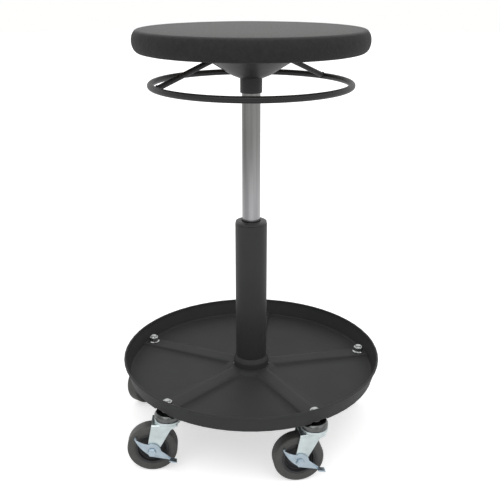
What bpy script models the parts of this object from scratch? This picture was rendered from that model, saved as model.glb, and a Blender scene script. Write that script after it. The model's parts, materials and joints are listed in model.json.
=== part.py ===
"""Height-adjustable shop stool: round seat on a gas lift, tool tray base and five swivel casters.

Units are metres, +Z is up, and the origin is on the floor under the column's axis.
The height stack starts at the floor: wheel, caster head, tray, column, gas lift, seat.
"""

from math import asin, atan2, cos, pi, radians, sin, tau

import bmesh
import bpy
from mathutils import Matrix, Vector

# Fits
SEAT_GAP = 0.0003
RUN_GAP = 0.00035

# Casters: where they stand and which way each wheel trails at rest
CASTER_COUNT = 5
FIRST_CASTER_ANGLE = radians(11.9)
CASTER_TRAILS = tuple(radians(a) for a in (145.0, 190.0, 235.0, 183.0, 189.0))
BRAKED_CASTERS = (3, 4)
CASTER_OFFSET = 0.0245

# Wheel: tyre on a moulded core that turns on a plain axle
WHEEL_RADIUS = 0.038
WHEEL_WIDTH = 0.024
TYRE_EDGE_RADIUS = 0.005
TYRE_DEPTH = 0.0127
CORE_RIM_THICKNESS = 0.0035
CORE_WEB_THICKNESS = 0.007
CORE_RIM_INSET = 0.0012
HUB_RADIUS = 0.0095
AXLE_RADIUS = 0.004
AXLE_HEAD_RADIUS = 0.0068
AXLE_HEAD_HEIGHT = 0.0042
WHEEL_SEGMENTS = 24

# Fork: bent sheet with two tapering legs
FORK_SHEET = 0.0025
FORK_SIDE_CLEARANCE = 0.0018
FORK_CROWN_CLEARANCE = 0.0035
FORK_BEND_RADIUS = 0.003
FORK_PLATE_FRONT = 0.015
FORK_LEG_FRONT = 0.0045
FORK_LEG_REAR = 0.0240
FORK_LEG_SHOULDER = 0.0055
FORK_FOOT_RADIUS = 0.0080

# Swivel head: kingpin, ball ring and race cup under the threaded stem
KINGPIN_RADIUS = 0.005
KINGPIN_HEAD_RADIUS = 0.0085
KINGPIN_HEAD_HEIGHT = 0.003
BALL_RADIUS = 0.0024
BALL_RING_RADIUS = 0.0112
CUP_RADIUS = 0.020
CUP_WALL = 0.0026
CUP_SKIRT_CLEARANCE = 0.0012
CUP_CROWN_HEIGHT = 0.0111
CUP_SHOULDER_DROP = 0.0050
COLLAR_RADIUS = 0.0090
COLLAR_STANDOFF = 0.0005
COLLAR_MARGIN = 0.0006
STEM_RADIUS = 0.00475
STEM_SEGMENTS = 12
STEM_SPARE = 0.0020
NUT_ACROSS_FLATS = 0.0143
NUT_HEIGHT = 0.0075
NUT_FLANGE_RADIUS = 0.0095
NUT_FLANGE_HEIGHT = 0.0015

# Side brake: crescent lever on the axle, with a pedal and a lug beside the tyre
BRAKE_SHEET = 0.002
BRAKE_BOSS_RADIUS = 0.0138
BRAKE_TIP_REACH = 0.0262
BRAKE_TIP_RISE = 0.0240
BRAKE_TIP_HOLLOW = 0.0016
BRAKE_KEEL_DEPTH = 0.0088
BRAKE_BELLY_BOW = 0.0036
BRAKE_HEEL_REACH = 0.0278
BRAKE_HEEL_DROP = 0.0150
BRAKE_HEEL_HEIGHT = 0.0040
BRAKE_PEDAL_LENGTH = 0.0080
BRAKE_PEDAL_WIDTH = 0.0115
BRAKE_LUG_RADIUS = 0.0014
BRAKE_LUG_INSET = 0.0028
BRAKE_LUG_CLEARANCE = 0.0010

# Tool tray: pressed sheet with a raised hub and a rib to each caster
TRAY_SHEET = 0.0015
TRAY_RIM_RADIUS = 0.2092
TRAY_DEPTH = 0.0292
TRAY_DRAFT = 0.0060
TRAY_CORNER_RADIUS = 0.0040
TRAY_HEM_RADIUS = 0.0017
RIB_HEIGHT = 0.004
RIB_WIDTH = 0.024
RIB_FLANK = 0.0035
HUB_PAD_WIDTH = 0.0045
HUB_FLANK = 0.011
TRAY_FIELD_STEPS = 6

# Column: socket welded in the tray, outer tube, guide bush and rod support
COLUMN_RADIUS = 0.025
COLUMN_WALL = 0.002
COLUMN_RISE = 0.2505
COLUMN_END_PLATE = 0.004
SOCKET_WALL = 0.0037
SOCKET_RISE = 0.0165
SOCKET_DROP = 0.014
SOCKET_CHAMFER = 0.0012
BUSH_LENGTH = 0.074
BUSH_FLANGE_HEIGHT = 0.0026
BUSH_FLANGE_INSET = 0.0006
BUSH_BEVEL_HEIGHT = 0.0012
BUSH_BEVEL_WIDTH = 0.0050
BEARING_HEIGHT = 0.006
BEARING_RADIUS = 0.014
BUMPER_HEIGHT = 0.008
BUMPER_RADIUS = 0.012
BUMPER_SPARE = 0.0015
CLIP_HEIGHT = 0.0025
CLIP_RADIUS = 0.0085
TURNED_SEGMENTS = 32
INNER_SEGMENTS = 16

# Gas lift
LIFT_STROKE = 0.180
LIFT_SPARE = 0.0175
CYLINDER_RADIUS = 0.014
CYLINDER_WALL = 0.0017
CYLINDER_INSERT = 0.072
CYLINDER_TAPER = 0.0005
END_GUIDE_LENGTH = 0.014
VALVE_BLOCK_LENGTH = 0.030
BUTTON_RADIUS = 0.004
BUTTON_RISE = 0.0068
BUTTON_SEAT_DEPTH = 0.009
ROD_RADIUS = 0.005
ROD_STEP = 0.001
PISTON_HEIGHT = 0.012
PISTON_STOP_GAP = 0.001

# Seat mount: taper socket and bell-shaped cone with two arm slots
TAPER_SOCKET_LENGTH = 0.0435
TAPER_SOCKET_WALL = 0.0021
CYLINDER_TOP_INSET = 0.002
CONE_SEAT = 0.0219
CONE_HEIGHT = 0.0374
CONE_SHEET = 0.0025
CONE_NECK_RISE = 0.004
CONE_NECK_RADIUS = 0.0290
CONE_TOP_RADIUS = 0.0795
FLANGE_WIDTH = 0.0185
SCREW_COUNT = 4
SCREW_INSET = 0.0090
SCREW_RADIUS = 0.003
SCREW_HEAD_RADIUS = 0.0058
SCREW_HEAD_HEIGHT = 0.004
SCREW_TIP_INSET = 0.0012
CONE_SEGMENTS = 32

# Lift ring
RING_RADIUS = 0.1473
RING_ROD_RADIUS = 0.00475
RING_DROP = 0.0382
ARM_ANGLES = (radians(204.2), radians(38.6))
ARM_RADIUS = 0.004
ARM_BEND_RADIUS = 0.056
ARM_PIVOT_RADIUS = 0.063
ARM_SLOT_CLEARANCE = 0.0012
RELEASE_PLATE_RADIUS = 0.022
RELEASE_PLATE_THICKNESS = 0.004
RING_TILT = radians(2.5)
RING_SEGMENTS = 48
ROD_SIDES = 8

# Seat
SEAT_RADIUS = 0.1718
SEAT_THICKNESS = 0.0327
SEAT_WAIST = 0.0165
SEAT_TOP_EDGE = 0.0095
SEAT_BOTTOM_EDGE = 0.0135
SEAT_CROWN = 0.0010
SEAT_FLAT_RADIUS = 0.040
INSERT_MARGIN = 0.020
INSERT_THICKNESS = 0.006
SEAT_SEGMENTS = 48
EDGE_STEPS = 4

# Caster height stack, from the floor up
AXLE_Z = WHEEL_RADIUS
TREAD_RADIUS = WHEEL_RADIUS / cos(pi / WHEEL_SEGMENTS)
FORK_UNDER_Z = 2 * WHEEL_RADIUS + FORK_CROWN_CLEARANCE
FORK_TOP_Z = FORK_UNDER_Z + FORK_SHEET
BALL_Z = FORK_TOP_Z + SEAT_GAP + BALL_RADIUS
CUP_CEILING_Z = BALL_Z + BALL_RADIUS + SEAT_GAP
COLLAR_Z = CUP_CEILING_Z + CUP_CROWN_HEIGHT
COLLAR_HEIGHT = RIB_HEIGHT + COLLAR_STANDOFF
STEM_SHOULDER_Z = COLLAR_Z + COLLAR_HEIGHT

# Tray and column places and heights
TRAY_CORNER_START = TRAY_RIM_RADIUS - TRAY_HEM_RADIUS - TRAY_DRAFT
TRAY_FLOOR_RADIUS = TRAY_CORNER_START - TRAY_CORNER_RADIUS
CASTER_INSET = COLLAR_RADIUS + COLLAR_MARGIN
CASTER_CIRCLE_RADIUS = TRAY_FLOOR_RADIUS - CASTER_INSET
RIB_UNDER_Z = STEM_SHOULDER_Z + SEAT_GAP
TRAY_UNDER_Z = RIB_UNDER_Z - RIB_HEIGHT
RIB_TOP_Z = RIB_UNDER_Z + TRAY_SHEET
NUT_Z = RIB_TOP_Z + SEAT_GAP
STEM_TOP_Z = NUT_Z + NUT_FLANGE_HEIGHT + NUT_HEIGHT + STEM_SPARE
COLUMN_TOP_Z = TRAY_UNDER_Z + COLUMN_RISE
BUSH_TOP_Z = COLUMN_TOP_Z + SEAT_GAP + BUSH_FLANGE_HEIGHT + BUSH_BEVEL_HEIGHT
SOCKET_RADIUS = COLUMN_RADIUS + SEAT_GAP + SOCKET_WALL

# Gas lift heights
CYLINDER_BOTTOM_Z = COLUMN_TOP_Z - CYLINDER_INSERT
BUMPER_TOP_Z = CYLINDER_BOTTOM_Z - LIFT_STROKE - BUMPER_SPARE
BEARING_TOP_Z = BUMPER_TOP_Z - BUMPER_HEIGHT - SEAT_GAP
END_PLATE_TOP_Z = BEARING_TOP_Z - BEARING_HEIGHT - SEAT_GAP
COLUMN_BOTTOM_Z = END_PLATE_TOP_Z - COLUMN_END_PLATE
CLIP_TOP_Z = COLUMN_BOTTOM_Z - SEAT_GAP
ROD_FOOT_RADIUS = ROD_RADIUS - ROD_STEP
PISTON_Z = CYLINDER_BOTTOM_Z + END_GUIDE_LENGTH + PISTON_STOP_GAP
CYLINDER_BORE = CYLINDER_RADIUS - CYLINDER_WALL

# Seat mount places and heights
FLANGE_RADIUS = CONE_TOP_RADIUS + FLANGE_WIDTH
SCREW_CIRCLE_RADIUS = FLANGE_RADIUS - SCREW_INSET
INSERT_RADIUS = FLANGE_RADIUS + INSERT_MARGIN
TAPER_SOCKET_Z = BUSH_TOP_Z + LIFT_STROKE + LIFT_SPARE
TAPER_SOCKET_TOP_Z = TAPER_SOCKET_Z + TAPER_SOCKET_LENGTH
TAPER_SOCKET_BORE = CYLINDER_RADIUS + SEAT_GAP
TAPER_SOCKET_RADIUS = TAPER_SOCKET_BORE + TAPER_SOCKET_WALL
CYLINDER_TOP_Z = TAPER_SOCKET_TOP_Z - CYLINDER_TOP_INSET
BUTTON_TOP_Z = CYLINDER_TOP_Z + BUTTON_RISE
RELEASE_PLATE_Z = BUTTON_TOP_Z + SEAT_GAP
ARM_Z = RELEASE_PLATE_Z + RELEASE_PLATE_THICKNESS / 2
RING_Z = ARM_Z - RING_DROP
CONE_Z = TAPER_SOCKET_Z + CONE_SEAT
FLANGE_TOP_Z = CONE_Z + CONE_HEIGHT
SEAT_Z = FLANGE_TOP_Z + SEAT_GAP
INSERT_Z = SEAT_Z
SEAT_TOP_Z = SEAT_Z + SEAT_THICKNESS

# Fork widths
LEG_INNER = WHEEL_WIDTH / 2 + FORK_SIDE_CLEARANCE
LEG_OUTER = LEG_INNER + FORK_SHEET

# Finishes: linear colour, metallic, roughness
FINISHES = {
    "seat_foam": ((0.020, 0.020, 0.022), 0.0, 0.55),
    "black_paint": ((0.016, 0.016, 0.018), 0.0, 0.42),
    "tray_paint": ((0.022, 0.022, 0.024), 0.0, 0.50),
    "black_plastic": ((0.012, 0.012, 0.013), 0.0, 0.45),
    "chrome_tube": ((0.52, 0.52, 0.51), 1.0, 0.28),
    "zinc": ((0.62, 0.65, 0.66), 1.0, 0.32),
    "bright_steel": ((0.60, 0.60, 0.60), 1.0, 0.22),
    "tyre_rubber": ((0.045, 0.043, 0.042), 0.0, 0.70),
    "wheel_core": ((0.010, 0.010, 0.012), 0.0, 0.50),
    "plywood": ((0.38, 0.25, 0.13), 0.0, 0.70),
}


def clear_scene():
    """Empty the scene of every object it starts with."""
    for obj in list(bpy.data.objects):
        bpy.data.objects.remove(obj)


def finish_material(name):
    """Return the named finish, made on first use."""
    material = bpy.data.materials.get(name)
    if material is None:
        colour, metallic, roughness = FINISHES[name]
        material = bpy.data.materials.new(name)
        material.use_nodes = True
        shader = material.node_tree.nodes["Principled BSDF"]
        shader.inputs["Base Color"].default_value = (*colour, 1.0)
        shader.inputs["Metallic"].default_value = metallic
        shader.inputs["Roughness"].default_value = roughness
    return material


def mesh_from(bm, name):
    """Close a bmesh into a mesh with its faces pointing out."""
    bmesh.ops.recalc_face_normals(bm, faces=bm.faces)
    mesh = bpy.data.meshes.new(name)
    bm.to_mesh(mesh)
    bm.free()
    mesh.shade_smooth()
    mesh.set_sharp_from_angle(angle=radians(35))
    return mesh


def add_object(name, mesh, finish, parent=None):
    """Place a mesh in the scene as one named piece with its finish."""
    obj = bpy.data.objects.new(name, mesh)
    bpy.context.scene.collection.objects.link(obj)
    if not mesh.materials:
        mesh.materials.append(finish_material(finish))
    obj.parent = parent
    return obj


def turned(profile, segments, name="turned"):
    """Spin a profile of (radius, z) points round the Z axis into a closed mesh.

    A profile that starts and ends on the axis makes a solid, any other is closed into a ring.
    """
    bm = bmesh.new()
    verts = [bm.verts.new((r, 0.0, z)) for r, z in profile]
    edges = [bm.edges.new(pair) for pair in zip(verts, verts[1:])]
    on_axis = profile[0][0] == 0.0 and profile[-1][0] == 0.0
    if not on_axis:
        edges.append(bm.edges.new((verts[-1], verts[0])))
    bmesh.ops.spin(
        bm, geom=verts + edges, cent=(0, 0, 0), axis=(0, 0, 1), angle=tau, steps=segments, use_merge=True
    )
    bmesh.ops.remove_doubles(bm, verts=bm.verts, dist=1e-6)
    bmesh.ops.dissolve_degenerate(bm, edges=bm.edges, dist=1e-7)
    return mesh_from(bm, name)


def prism(outline, low, high, name="prism"):
    """Extrude an outline of (x, z) points along Y, from low to high."""
    bm = bmesh.new()
    base = bm.faces.new([bm.verts.new((x, low, z)) for x, z in outline])
    grown = bmesh.ops.extrude_face_region(bm, geom=[base])
    moved = [v for v in grown["geom"] if isinstance(v, bmesh.types.BMVert)]
    bmesh.ops.translate(bm, vec=(0, high - low, 0), verts=moved)
    return mesh_from(bm, name)


def rod_along(points, radius, sides, name="rod"):
    """Sweep a round rod of that radius along a path of points, with flat ends."""
    curve = bpy.data.curves.new(name, "CURVE")
    curve.dimensions = "3D"
    curve.bevel_depth = radius
    curve.fill_mode = "FULL"
    curve.bevel_resolution = (sides - 4) // 2
    curve.use_fill_caps = True
    spline = curve.splines.new("POLY")
    spline.points.add(len(points) - 1)
    for point, place in zip(spline.points, points):
        point.co = (*place, 1.0)
    obj = bpy.data.objects.new(name, curve)
    bpy.context.scene.collection.objects.link(obj)
    mesh = evaluated_mesh(obj, name)
    bpy.data.objects.remove(obj)
    bm = bmesh.new()
    bm.from_mesh(mesh)
    bmesh.ops.remove_doubles(bm, verts=bm.verts, dist=1e-6)
    return mesh_from(bm, name)


def cylinder(radius, start, end, sides):
    """Make a closed cylinder between two points."""
    start, end = Vector(start), Vector(end)
    bm = bmesh.new()
    axis = end - start
    place = Matrix.Translation((start + end) / 2) @ axis.to_track_quat("Z", "Y").to_matrix().to_4x4()
    bmesh.ops.create_cone(
        bm, cap_ends=True, segments=sides, radius1=radius, radius2=radius, depth=axis.length, matrix=place
    )
    return mesh_from(bm, "cylinder")


def evaluated_mesh(obj, name):
    """Return the object's mesh with its modifiers applied."""
    bpy.context.view_layer.update()
    graph = bpy.context.evaluated_depsgraph_get()
    mesh = bpy.data.meshes.new_from_object(obj.evaluated_get(graph), depsgraph=graph)
    mesh.name = name
    return mesh


def combined(name, base, others, operation):
    """Join other meshes to a base mesh, or cut them from it or keep what is in both, one by one."""
    scene = bpy.context.scene.collection.objects
    work = bpy.data.objects.new(name, base)
    scene.link(work)
    helpers = []
    for other in others:
        helper = bpy.data.objects.new("helper", other)
        scene.link(helper)
        helpers.append(helper)
        modifier = work.modifiers.new(operation.lower(), "BOOLEAN")
        modifier.operation = operation
        modifier.solver = "EXACT"
        modifier.object = helper
    mesh = evaluated_mesh(work, name)
    for obj in [work, *helpers]:
        bpy.data.objects.remove(obj)
    mesh.materials.clear()
    mesh.shade_smooth()
    mesh.set_sharp_from_angle(angle=radians(35))
    return mesh


def arc(centre, radius, start, end, steps):
    """Return points on an arc from one angle to another, both ends included."""
    x, z = centre
    angles = [start + (end - start) * k / steps for k in range(steps + 1)]
    return [(x + radius * cos(a), z + radius * sin(a)) for a in angles]


def ring_points(radius, angle, z):
    """Return the point at that radius, angle and height."""
    return Vector((radius * cos(angle), radius * sin(angle), z))


def caster_angle(index):
    """Return the angle at which a caster stands on its circle."""
    return FIRST_CASTER_ANGLE + index * tau / CASTER_COUNT


def hub_lines():
    """Return (angle, rib height share) of the tray's grid lines on the hub, evenly spread."""
    first, per_caster = 2, 4 + TRAY_FIELD_STEPS
    step = tau / CASTER_COUNT / per_caster
    lines = []
    for index in range(CASTER_COUNT):
        lines += [(caster_angle(index) + (k - first) * step, 1.0) for k in range(per_caster)]
    return lines


def tray_lines(radius):
    """Return (angle, rib height share) of the tray's radial grid lines at that radius."""
    half, foot = RIB_WIDTH / 2, RIB_WIDTH / 2 + RIB_FLANK
    lines = []
    for index in range(CASTER_COUNT):
        centre = caster_angle(index)
        for offset, share in ((-foot, 0.0), (-half, 1.0), (0.0, 1.0), (half, 1.0), (foot, 0.0)):
            lines.append((centre + asin(offset / radius), share))
        start = centre + asin(foot / radius)
        end = centre + tau / CASTER_COUNT - asin(foot / radius)
        step = (end - start) / TRAY_FIELD_STEPS
        lines += [(start + step * k, 0.0) for k in range(1, TRAY_FIELD_STEPS)]
    return lines


def tray_sheet_rings(lift):
    """Return the rings of the tray's pressed face, (radius, z, rib share, hub share), from hub to wall.

    lift is 0 on the under face and the sheet's thickness on the upper one.
    """
    hole = SOCKET_RADIUS + SEAT_GAP
    pad = hole + HUB_PAD_WIDTH
    floor_end = TRAY_FLOOR_RADIUS
    bend = TRAY_CORNER_RADIUS - lift
    centre_z = TRAY_UNDER_Z + TRAY_CORNER_RADIUS
    z = TRAY_UNDER_Z + lift
    rings = [
        (hole, z, 1.0, 1.0),
        (pad, z, 1.0, 1.0),
        (pad + HUB_FLANK, z, 1.0, 0.0),
        (floor_end, z, 1.0, 0.0),
    ]
    for share in (0.5, 1.0):
        angle = share * pi / 2
        rings.append((floor_end + bend * sin(angle), centre_z - bend * cos(angle), 0.0, 0.0))
    wall_top = TRAY_UNDER_Z + TRAY_DEPTH - 2 * TRAY_HEM_RADIUS
    rings.append((TRAY_CORNER_START + TRAY_DRAFT - lift, wall_top, 0.0, 0.0))
    return rings


def tray_mesh():
    """Press the tray: one sheet with ribs, raised hub, drafted wall and a hemmed rim, then pierce it."""
    hem_z = TRAY_UNDER_Z + TRAY_DEPTH - TRAY_HEM_RADIUS
    hem_r = TRAY_RIM_RADIUS - TRAY_HEM_RADIUS
    upper = tray_sheet_rings(TRAY_SHEET)
    under = tray_sheet_rings(0.0)
    hem = [(r, z, 0.0, 0.0) for r, z in arc((hem_r, hem_z), TRAY_HEM_RADIUS, 1.15 * pi, -0.3 * pi, 4)]
    rings = upper + hem + under[::-1]
    bm = bmesh.new()
    loops = []
    for radius, z, rib, hub in rings:
        loop = []
        for angle, share in hub_lines() if hub else tray_lines(radius):
            rise = RIB_HEIGHT * max(share * rib, hub)
            loop.append(bm.verts.new(ring_points(radius, angle, z + rise)))
        loops.append(loop)
    for inner, outer in zip(loops, loops[1:] + loops[:1]):
        for k in range(len(inner)):
            bm.faces.new((inner[k - 1], inner[k], outer[k], outer[k - 1]))
    mesh = mesh_from(bm, "tool_tray")
    holes = []
    for index in range(CASTER_COUNT):
        place = ring_points(CASTER_CIRCLE_RADIUS, caster_angle(index), 0.0)
        low = place + Vector((0, 0, TRAY_UNDER_Z))
        high = place + Vector((0, 0, RIB_TOP_Z + RIB_HEIGHT))
        holes.append(cylinder(STEM_RADIUS + SEAT_GAP, low, high, 16))
    return combined("tool_tray", mesh, holes, "DIFFERENCE")


def column_socket_mesh():
    """Turn the sleeve that is welded through the tray and holds the column."""
    bore = COLUMN_RADIUS + SEAT_GAP
    low, high = TRAY_UNDER_Z - SOCKET_DROP, RIB_TOP_Z + SOCKET_RISE
    profile = [
        (SOCKET_RADIUS, high - SOCKET_CHAMFER),
        (SOCKET_RADIUS, low + SOCKET_CHAMFER),
        (SOCKET_RADIUS - SOCKET_CHAMFER, low),
        (bore, low),
        (bore, high),
        (SOCKET_RADIUS - SOCKET_CHAMFER, high),
    ]
    return turned(profile, TURNED_SEGMENTS, "column_socket")


def column_tube_mesh():
    """Turn the outer tube with the end plate that the piston rod stands on."""
    bore = COLUMN_RADIUS - COLUMN_WALL
    eye = ROD_FOOT_RADIUS + RUN_GAP
    profile = [
        (COLUMN_RADIUS, COLUMN_TOP_Z),
        (COLUMN_RADIUS, COLUMN_BOTTOM_Z),
        (eye, COLUMN_BOTTOM_Z),
        (eye, END_PLATE_TOP_Z),
        (bore, END_PLATE_TOP_Z),
        (bore, COLUMN_TOP_Z),
    ]
    return turned(profile, TURNED_SEGMENTS, "column_tube")


def guide_bush_mesh():
    """Turn the plastic bush in the column's mouth, with its bevelled flange on the rim."""
    bore = CYLINDER_RADIUS + RUN_GAP
    body = COLUMN_RADIUS - COLUMN_WALL - SEAT_GAP
    flange = COLUMN_RADIUS - BUSH_FLANGE_INSET
    seat = COLUMN_TOP_Z + SEAT_GAP
    profile = [
        (flange, seat + BUSH_FLANGE_HEIGHT),
        (flange, seat),
        (body, seat),
        (body, COLUMN_TOP_Z - BUSH_LENGTH),
        (bore, COLUMN_TOP_Z - BUSH_LENGTH),
        (bore, BUSH_TOP_Z - BUSH_BEVEL_HEIGHT),
        (bore + BUSH_BEVEL_HEIGHT, BUSH_TOP_Z),
        (flange - BUSH_BEVEL_WIDTH, BUSH_TOP_Z),
    ]
    return turned(profile, TURNED_SEGMENTS, "guide_bush")


def washer_mesh(name, bore, radius, low, high):
    """Turn a plain ring between two heights."""
    return turned([(radius, high), (radius, low), (bore, low), (bore, high)], INNER_SEGMENTS, name)


def piston_rod_mesh():
    """Turn the rod: a stepped foot through the end plate and a full stem up to the piston."""
    foot_z = CLIP_TOP_Z - CLIP_HEIGHT - SEAT_GAP
    shoulder = BEARING_TOP_Z + SEAT_GAP
    profile = [
        (0.0, PISTON_Z + PISTON_HEIGHT + ROD_STEP),
        (ROD_FOOT_RADIUS, PISTON_Z + PISTON_HEIGHT + ROD_STEP),
        (ROD_FOOT_RADIUS, PISTON_Z - SEAT_GAP),
        (ROD_RADIUS, PISTON_Z - SEAT_GAP),
        (ROD_RADIUS, shoulder),
        (ROD_FOOT_RADIUS, shoulder),
        (ROD_FOOT_RADIUS, foot_z),
        (0.0, foot_z),
    ]
    return turned(profile, INNER_SEGMENTS, "piston_rod")


def gas_cylinder_mesh():
    """Turn the gas cylinder: bored from below, tapered at the top, with a pocket for the valve button."""
    taper_z = TAPER_SOCKET_Z
    bore_top = CYLINDER_TOP_Z - VALVE_BLOCK_LENGTH
    pocket = BUTTON_RADIUS + RUN_GAP
    pocket_z = CYLINDER_TOP_Z - BUTTON_SEAT_DEPTH
    profile = [
        (0.0, pocket_z),
        (pocket, pocket_z),
        (pocket, CYLINDER_TOP_Z),
        (CYLINDER_RADIUS - CYLINDER_TAPER, CYLINDER_TOP_Z),
        (CYLINDER_RADIUS, taper_z),
        (CYLINDER_RADIUS, CYLINDER_BOTTOM_Z),
        (CYLINDER_BORE, CYLINDER_BOTTOM_Z),
        (CYLINDER_BORE, bore_top),
        (0.0, bore_top),
    ]
    return turned(profile, TURNED_SEGMENTS, "gas_cylinder")


def valve_button_mesh():
    """Turn the release button on top of the cylinder. Its pocket leaves room for the press."""
    travel = ARM_PIVOT_RADIUS * RING_TILT
    low = CYLINDER_TOP_Z - BUTTON_SEAT_DEPTH + travel + SEAT_GAP
    profile = [(0.0, BUTTON_TOP_Z), (BUTTON_RADIUS, BUTTON_TOP_Z), (BUTTON_RADIUS, low), (0.0, low)]
    return turned(profile, INNER_SEGMENTS, "valve_button")


def taper_socket_mesh():
    """Turn the collar that the gas cylinder's taper plugs into."""
    profile = [
        (TAPER_SOCKET_RADIUS, TAPER_SOCKET_TOP_Z),
        (TAPER_SOCKET_RADIUS, TAPER_SOCKET_Z),
        (TAPER_SOCKET_BORE, TAPER_SOCKET_Z),
        (TAPER_SOCKET_BORE - CYLINDER_TAPER, TAPER_SOCKET_TOP_Z),
    ]
    return turned(profile, CONE_SEGMENTS, "taper_socket")


def cone_under(radius):
    """Return the height of the mount cone's under face at a radius between its neck and its flange."""
    low = CONE_Z + CONE_NECK_RISE
    high = FLANGE_TOP_Z - CONE_SHEET
    share = (radius - CONE_NECK_RADIUS) / (CONE_TOP_RADIUS - CONE_NECK_RADIUS)
    return low + (high - low) * share


def screw_angle(index):
    """Return the angle of a seat screw, midway between the arms at the start."""
    first = sum(ARM_ANGLES) / len(ARM_ANGLES)
    return first + index * tau / SCREW_COUNT


def mount_cone_mesh():
    """Turn the pressed bell under the seat, then cut its arm slots and screw holes."""
    neck = TAPER_SOCKET_RADIUS + SEAT_GAP
    climb = cone_under(CONE_TOP_RADIUS) - cone_under(CONE_NECK_RADIUS)
    slope = atan2(climb, CONE_TOP_RADIUS - CONE_NECK_RADIUS)
    rise = CONE_SHEET / cos(slope)
    profile = [
        (FLANGE_RADIUS, FLANGE_TOP_Z),
        (FLANGE_RADIUS, FLANGE_TOP_Z - CONE_SHEET),
        (CONE_TOP_RADIUS, FLANGE_TOP_Z - CONE_SHEET),
        (CONE_NECK_RADIUS, cone_under(CONE_NECK_RADIUS)),
        (neck + CONE_SHEET, CONE_Z),
        (neck, CONE_Z),
        (neck, cone_under(CONE_NECK_RADIUS) + rise),
        (CONE_NECK_RADIUS, cone_under(CONE_NECK_RADIUS) + rise),
        (CONE_TOP_RADIUS - (rise - CONE_SHEET) * cos(slope) / sin(slope), FLANGE_TOP_Z),
    ]
    cone = turned(profile, CONE_SEGMENTS, "mount_cone")
    cutters = [arm_slot_cutter(angle) for angle in ARM_ANGLES]
    for index in range(SCREW_COUNT):
        place = ring_points(SCREW_CIRCLE_RADIUS, screw_angle(index), 0.0)
        low = place + Vector((0, 0, CONE_Z))
        high = place + Vector((0, 0, SEAT_TOP_Z))
        cutters.append(cylinder(SCREW_RADIUS + SEAT_GAP, low, high, 12))
    return combined("mount_cone", cone, cutters, "DIFFERENCE")


def arm_height(radius):
    """Return the height of an arm's centre line at a radius."""
    if radius <= ARM_BEND_RADIUS:
        return ARM_Z
    share = (radius - ARM_BEND_RADIUS) / (RING_RADIUS - ARM_BEND_RADIUS)
    return ARM_Z - RING_DROP * share


def arm_slot_cutter(angle):
    """Make the block that cuts an arm's slot in the cone, deep enough for the arm's tilt."""
    half = ARM_RADIUS + ARM_SLOT_CLEARANCE
    tilt_drop = 2 * ARM_PIVOT_RADIUS * RING_TILT
    low = arm_height(ARM_PIVOT_RADIUS) - half - tilt_drop - ARM_RADIUS
    high = ARM_Z + half
    inner, outer = CONE_NECK_RADIUS, CONE_TOP_RADIUS
    outline = [(inner, low), (outer, low), (outer, high), (inner, high)]
    mesh = prism(outline, -half, half, "arm_slot")
    mesh.transform(Matrix.Rotation(angle, 4, "Z"))
    return mesh


def lift_ring_mesh():
    """Weld the hand ring to its two bent arms."""
    sides = [(RING_RADIUS + x, RING_Z + z) for x, z in arc((0, 0), RING_ROD_RADIUS, 0, -tau, ROD_SIDES)[:-1]]
    ring = turned(sides, RING_SEGMENTS, "lift_ring")
    arms = []
    start = RELEASE_PLATE_RADIUS + SEAT_GAP
    bend = (ARM_BEND_RADIUS - ARM_RADIUS, ARM_BEND_RADIUS, ARM_BEND_RADIUS + ARM_RADIUS)
    radii = (start, *bend, RING_RADIUS)
    for angle in ARM_ANGLES:
        path = [ring_points(r, angle, arm_height(r)) for r in radii]
        arms.append(rod_along(path, ARM_RADIUS, ROD_SIDES))
    return combined("lift_ring", ring, arms, "UNION")


def release_plate_mesh():
    """Turn the plate between the arms that presses the valve button."""
    top = RELEASE_PLATE_Z + RELEASE_PLATE_THICKNESS
    profile = [
        (0.0, top),
        (RELEASE_PLATE_RADIUS, top),
        (RELEASE_PLATE_RADIUS, RELEASE_PLATE_Z),
        (0.0, RELEASE_PLATE_Z),
    ]
    return turned(profile, CONE_SEGMENTS, "release_plate")


def seat_screw_mesh(index):
    """Make one hex screw from under the flange up into the seat board."""
    place = Matrix.Translation(ring_points(SCREW_CIRCLE_RADIUS, screw_angle(index), 0.0))
    seat = FLANGE_TOP_Z - CONE_SHEET - SEAT_GAP
    tip = INSERT_Z + INSERT_THICKNESS - SCREW_TIP_INSET
    head = cylinder(SCREW_HEAD_RADIUS, (0, 0, seat - SCREW_HEAD_HEIGHT), (0, 0, seat), 6)
    shank = cylinder(SCREW_RADIUS, (0, 0, seat - SCREW_HEAD_HEIGHT / 2), (0, 0, tip), 12)
    mesh = combined("seat_screw", head, [shank], "UNION")
    mesh.transform(place)
    return mesh


def seat_insert_mesh():
    """Turn the board moulded into the seat's underside and drill its screw holes."""
    top = INSERT_Z + INSERT_THICKNESS
    profile = [(0.0, top), (INSERT_RADIUS, top), (INSERT_RADIUS, INSERT_Z), (0.0, INSERT_Z)]
    board = turned(profile, SEAT_SEGMENTS, "seat_board")
    holes = []
    for index in range(SCREW_COUNT):
        place = ring_points(SCREW_CIRCLE_RADIUS, screw_angle(index), 0.0)
        low = place + Vector((0, 0, CONE_Z))
        high = place + Vector((0, 0, top + INSERT_THICKNESS))
        holes.append(cylinder(SCREW_RADIUS + SEAT_GAP, low, high, 12))
    return combined("seat_board", board, holes, "DIFFERENCE")


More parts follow.
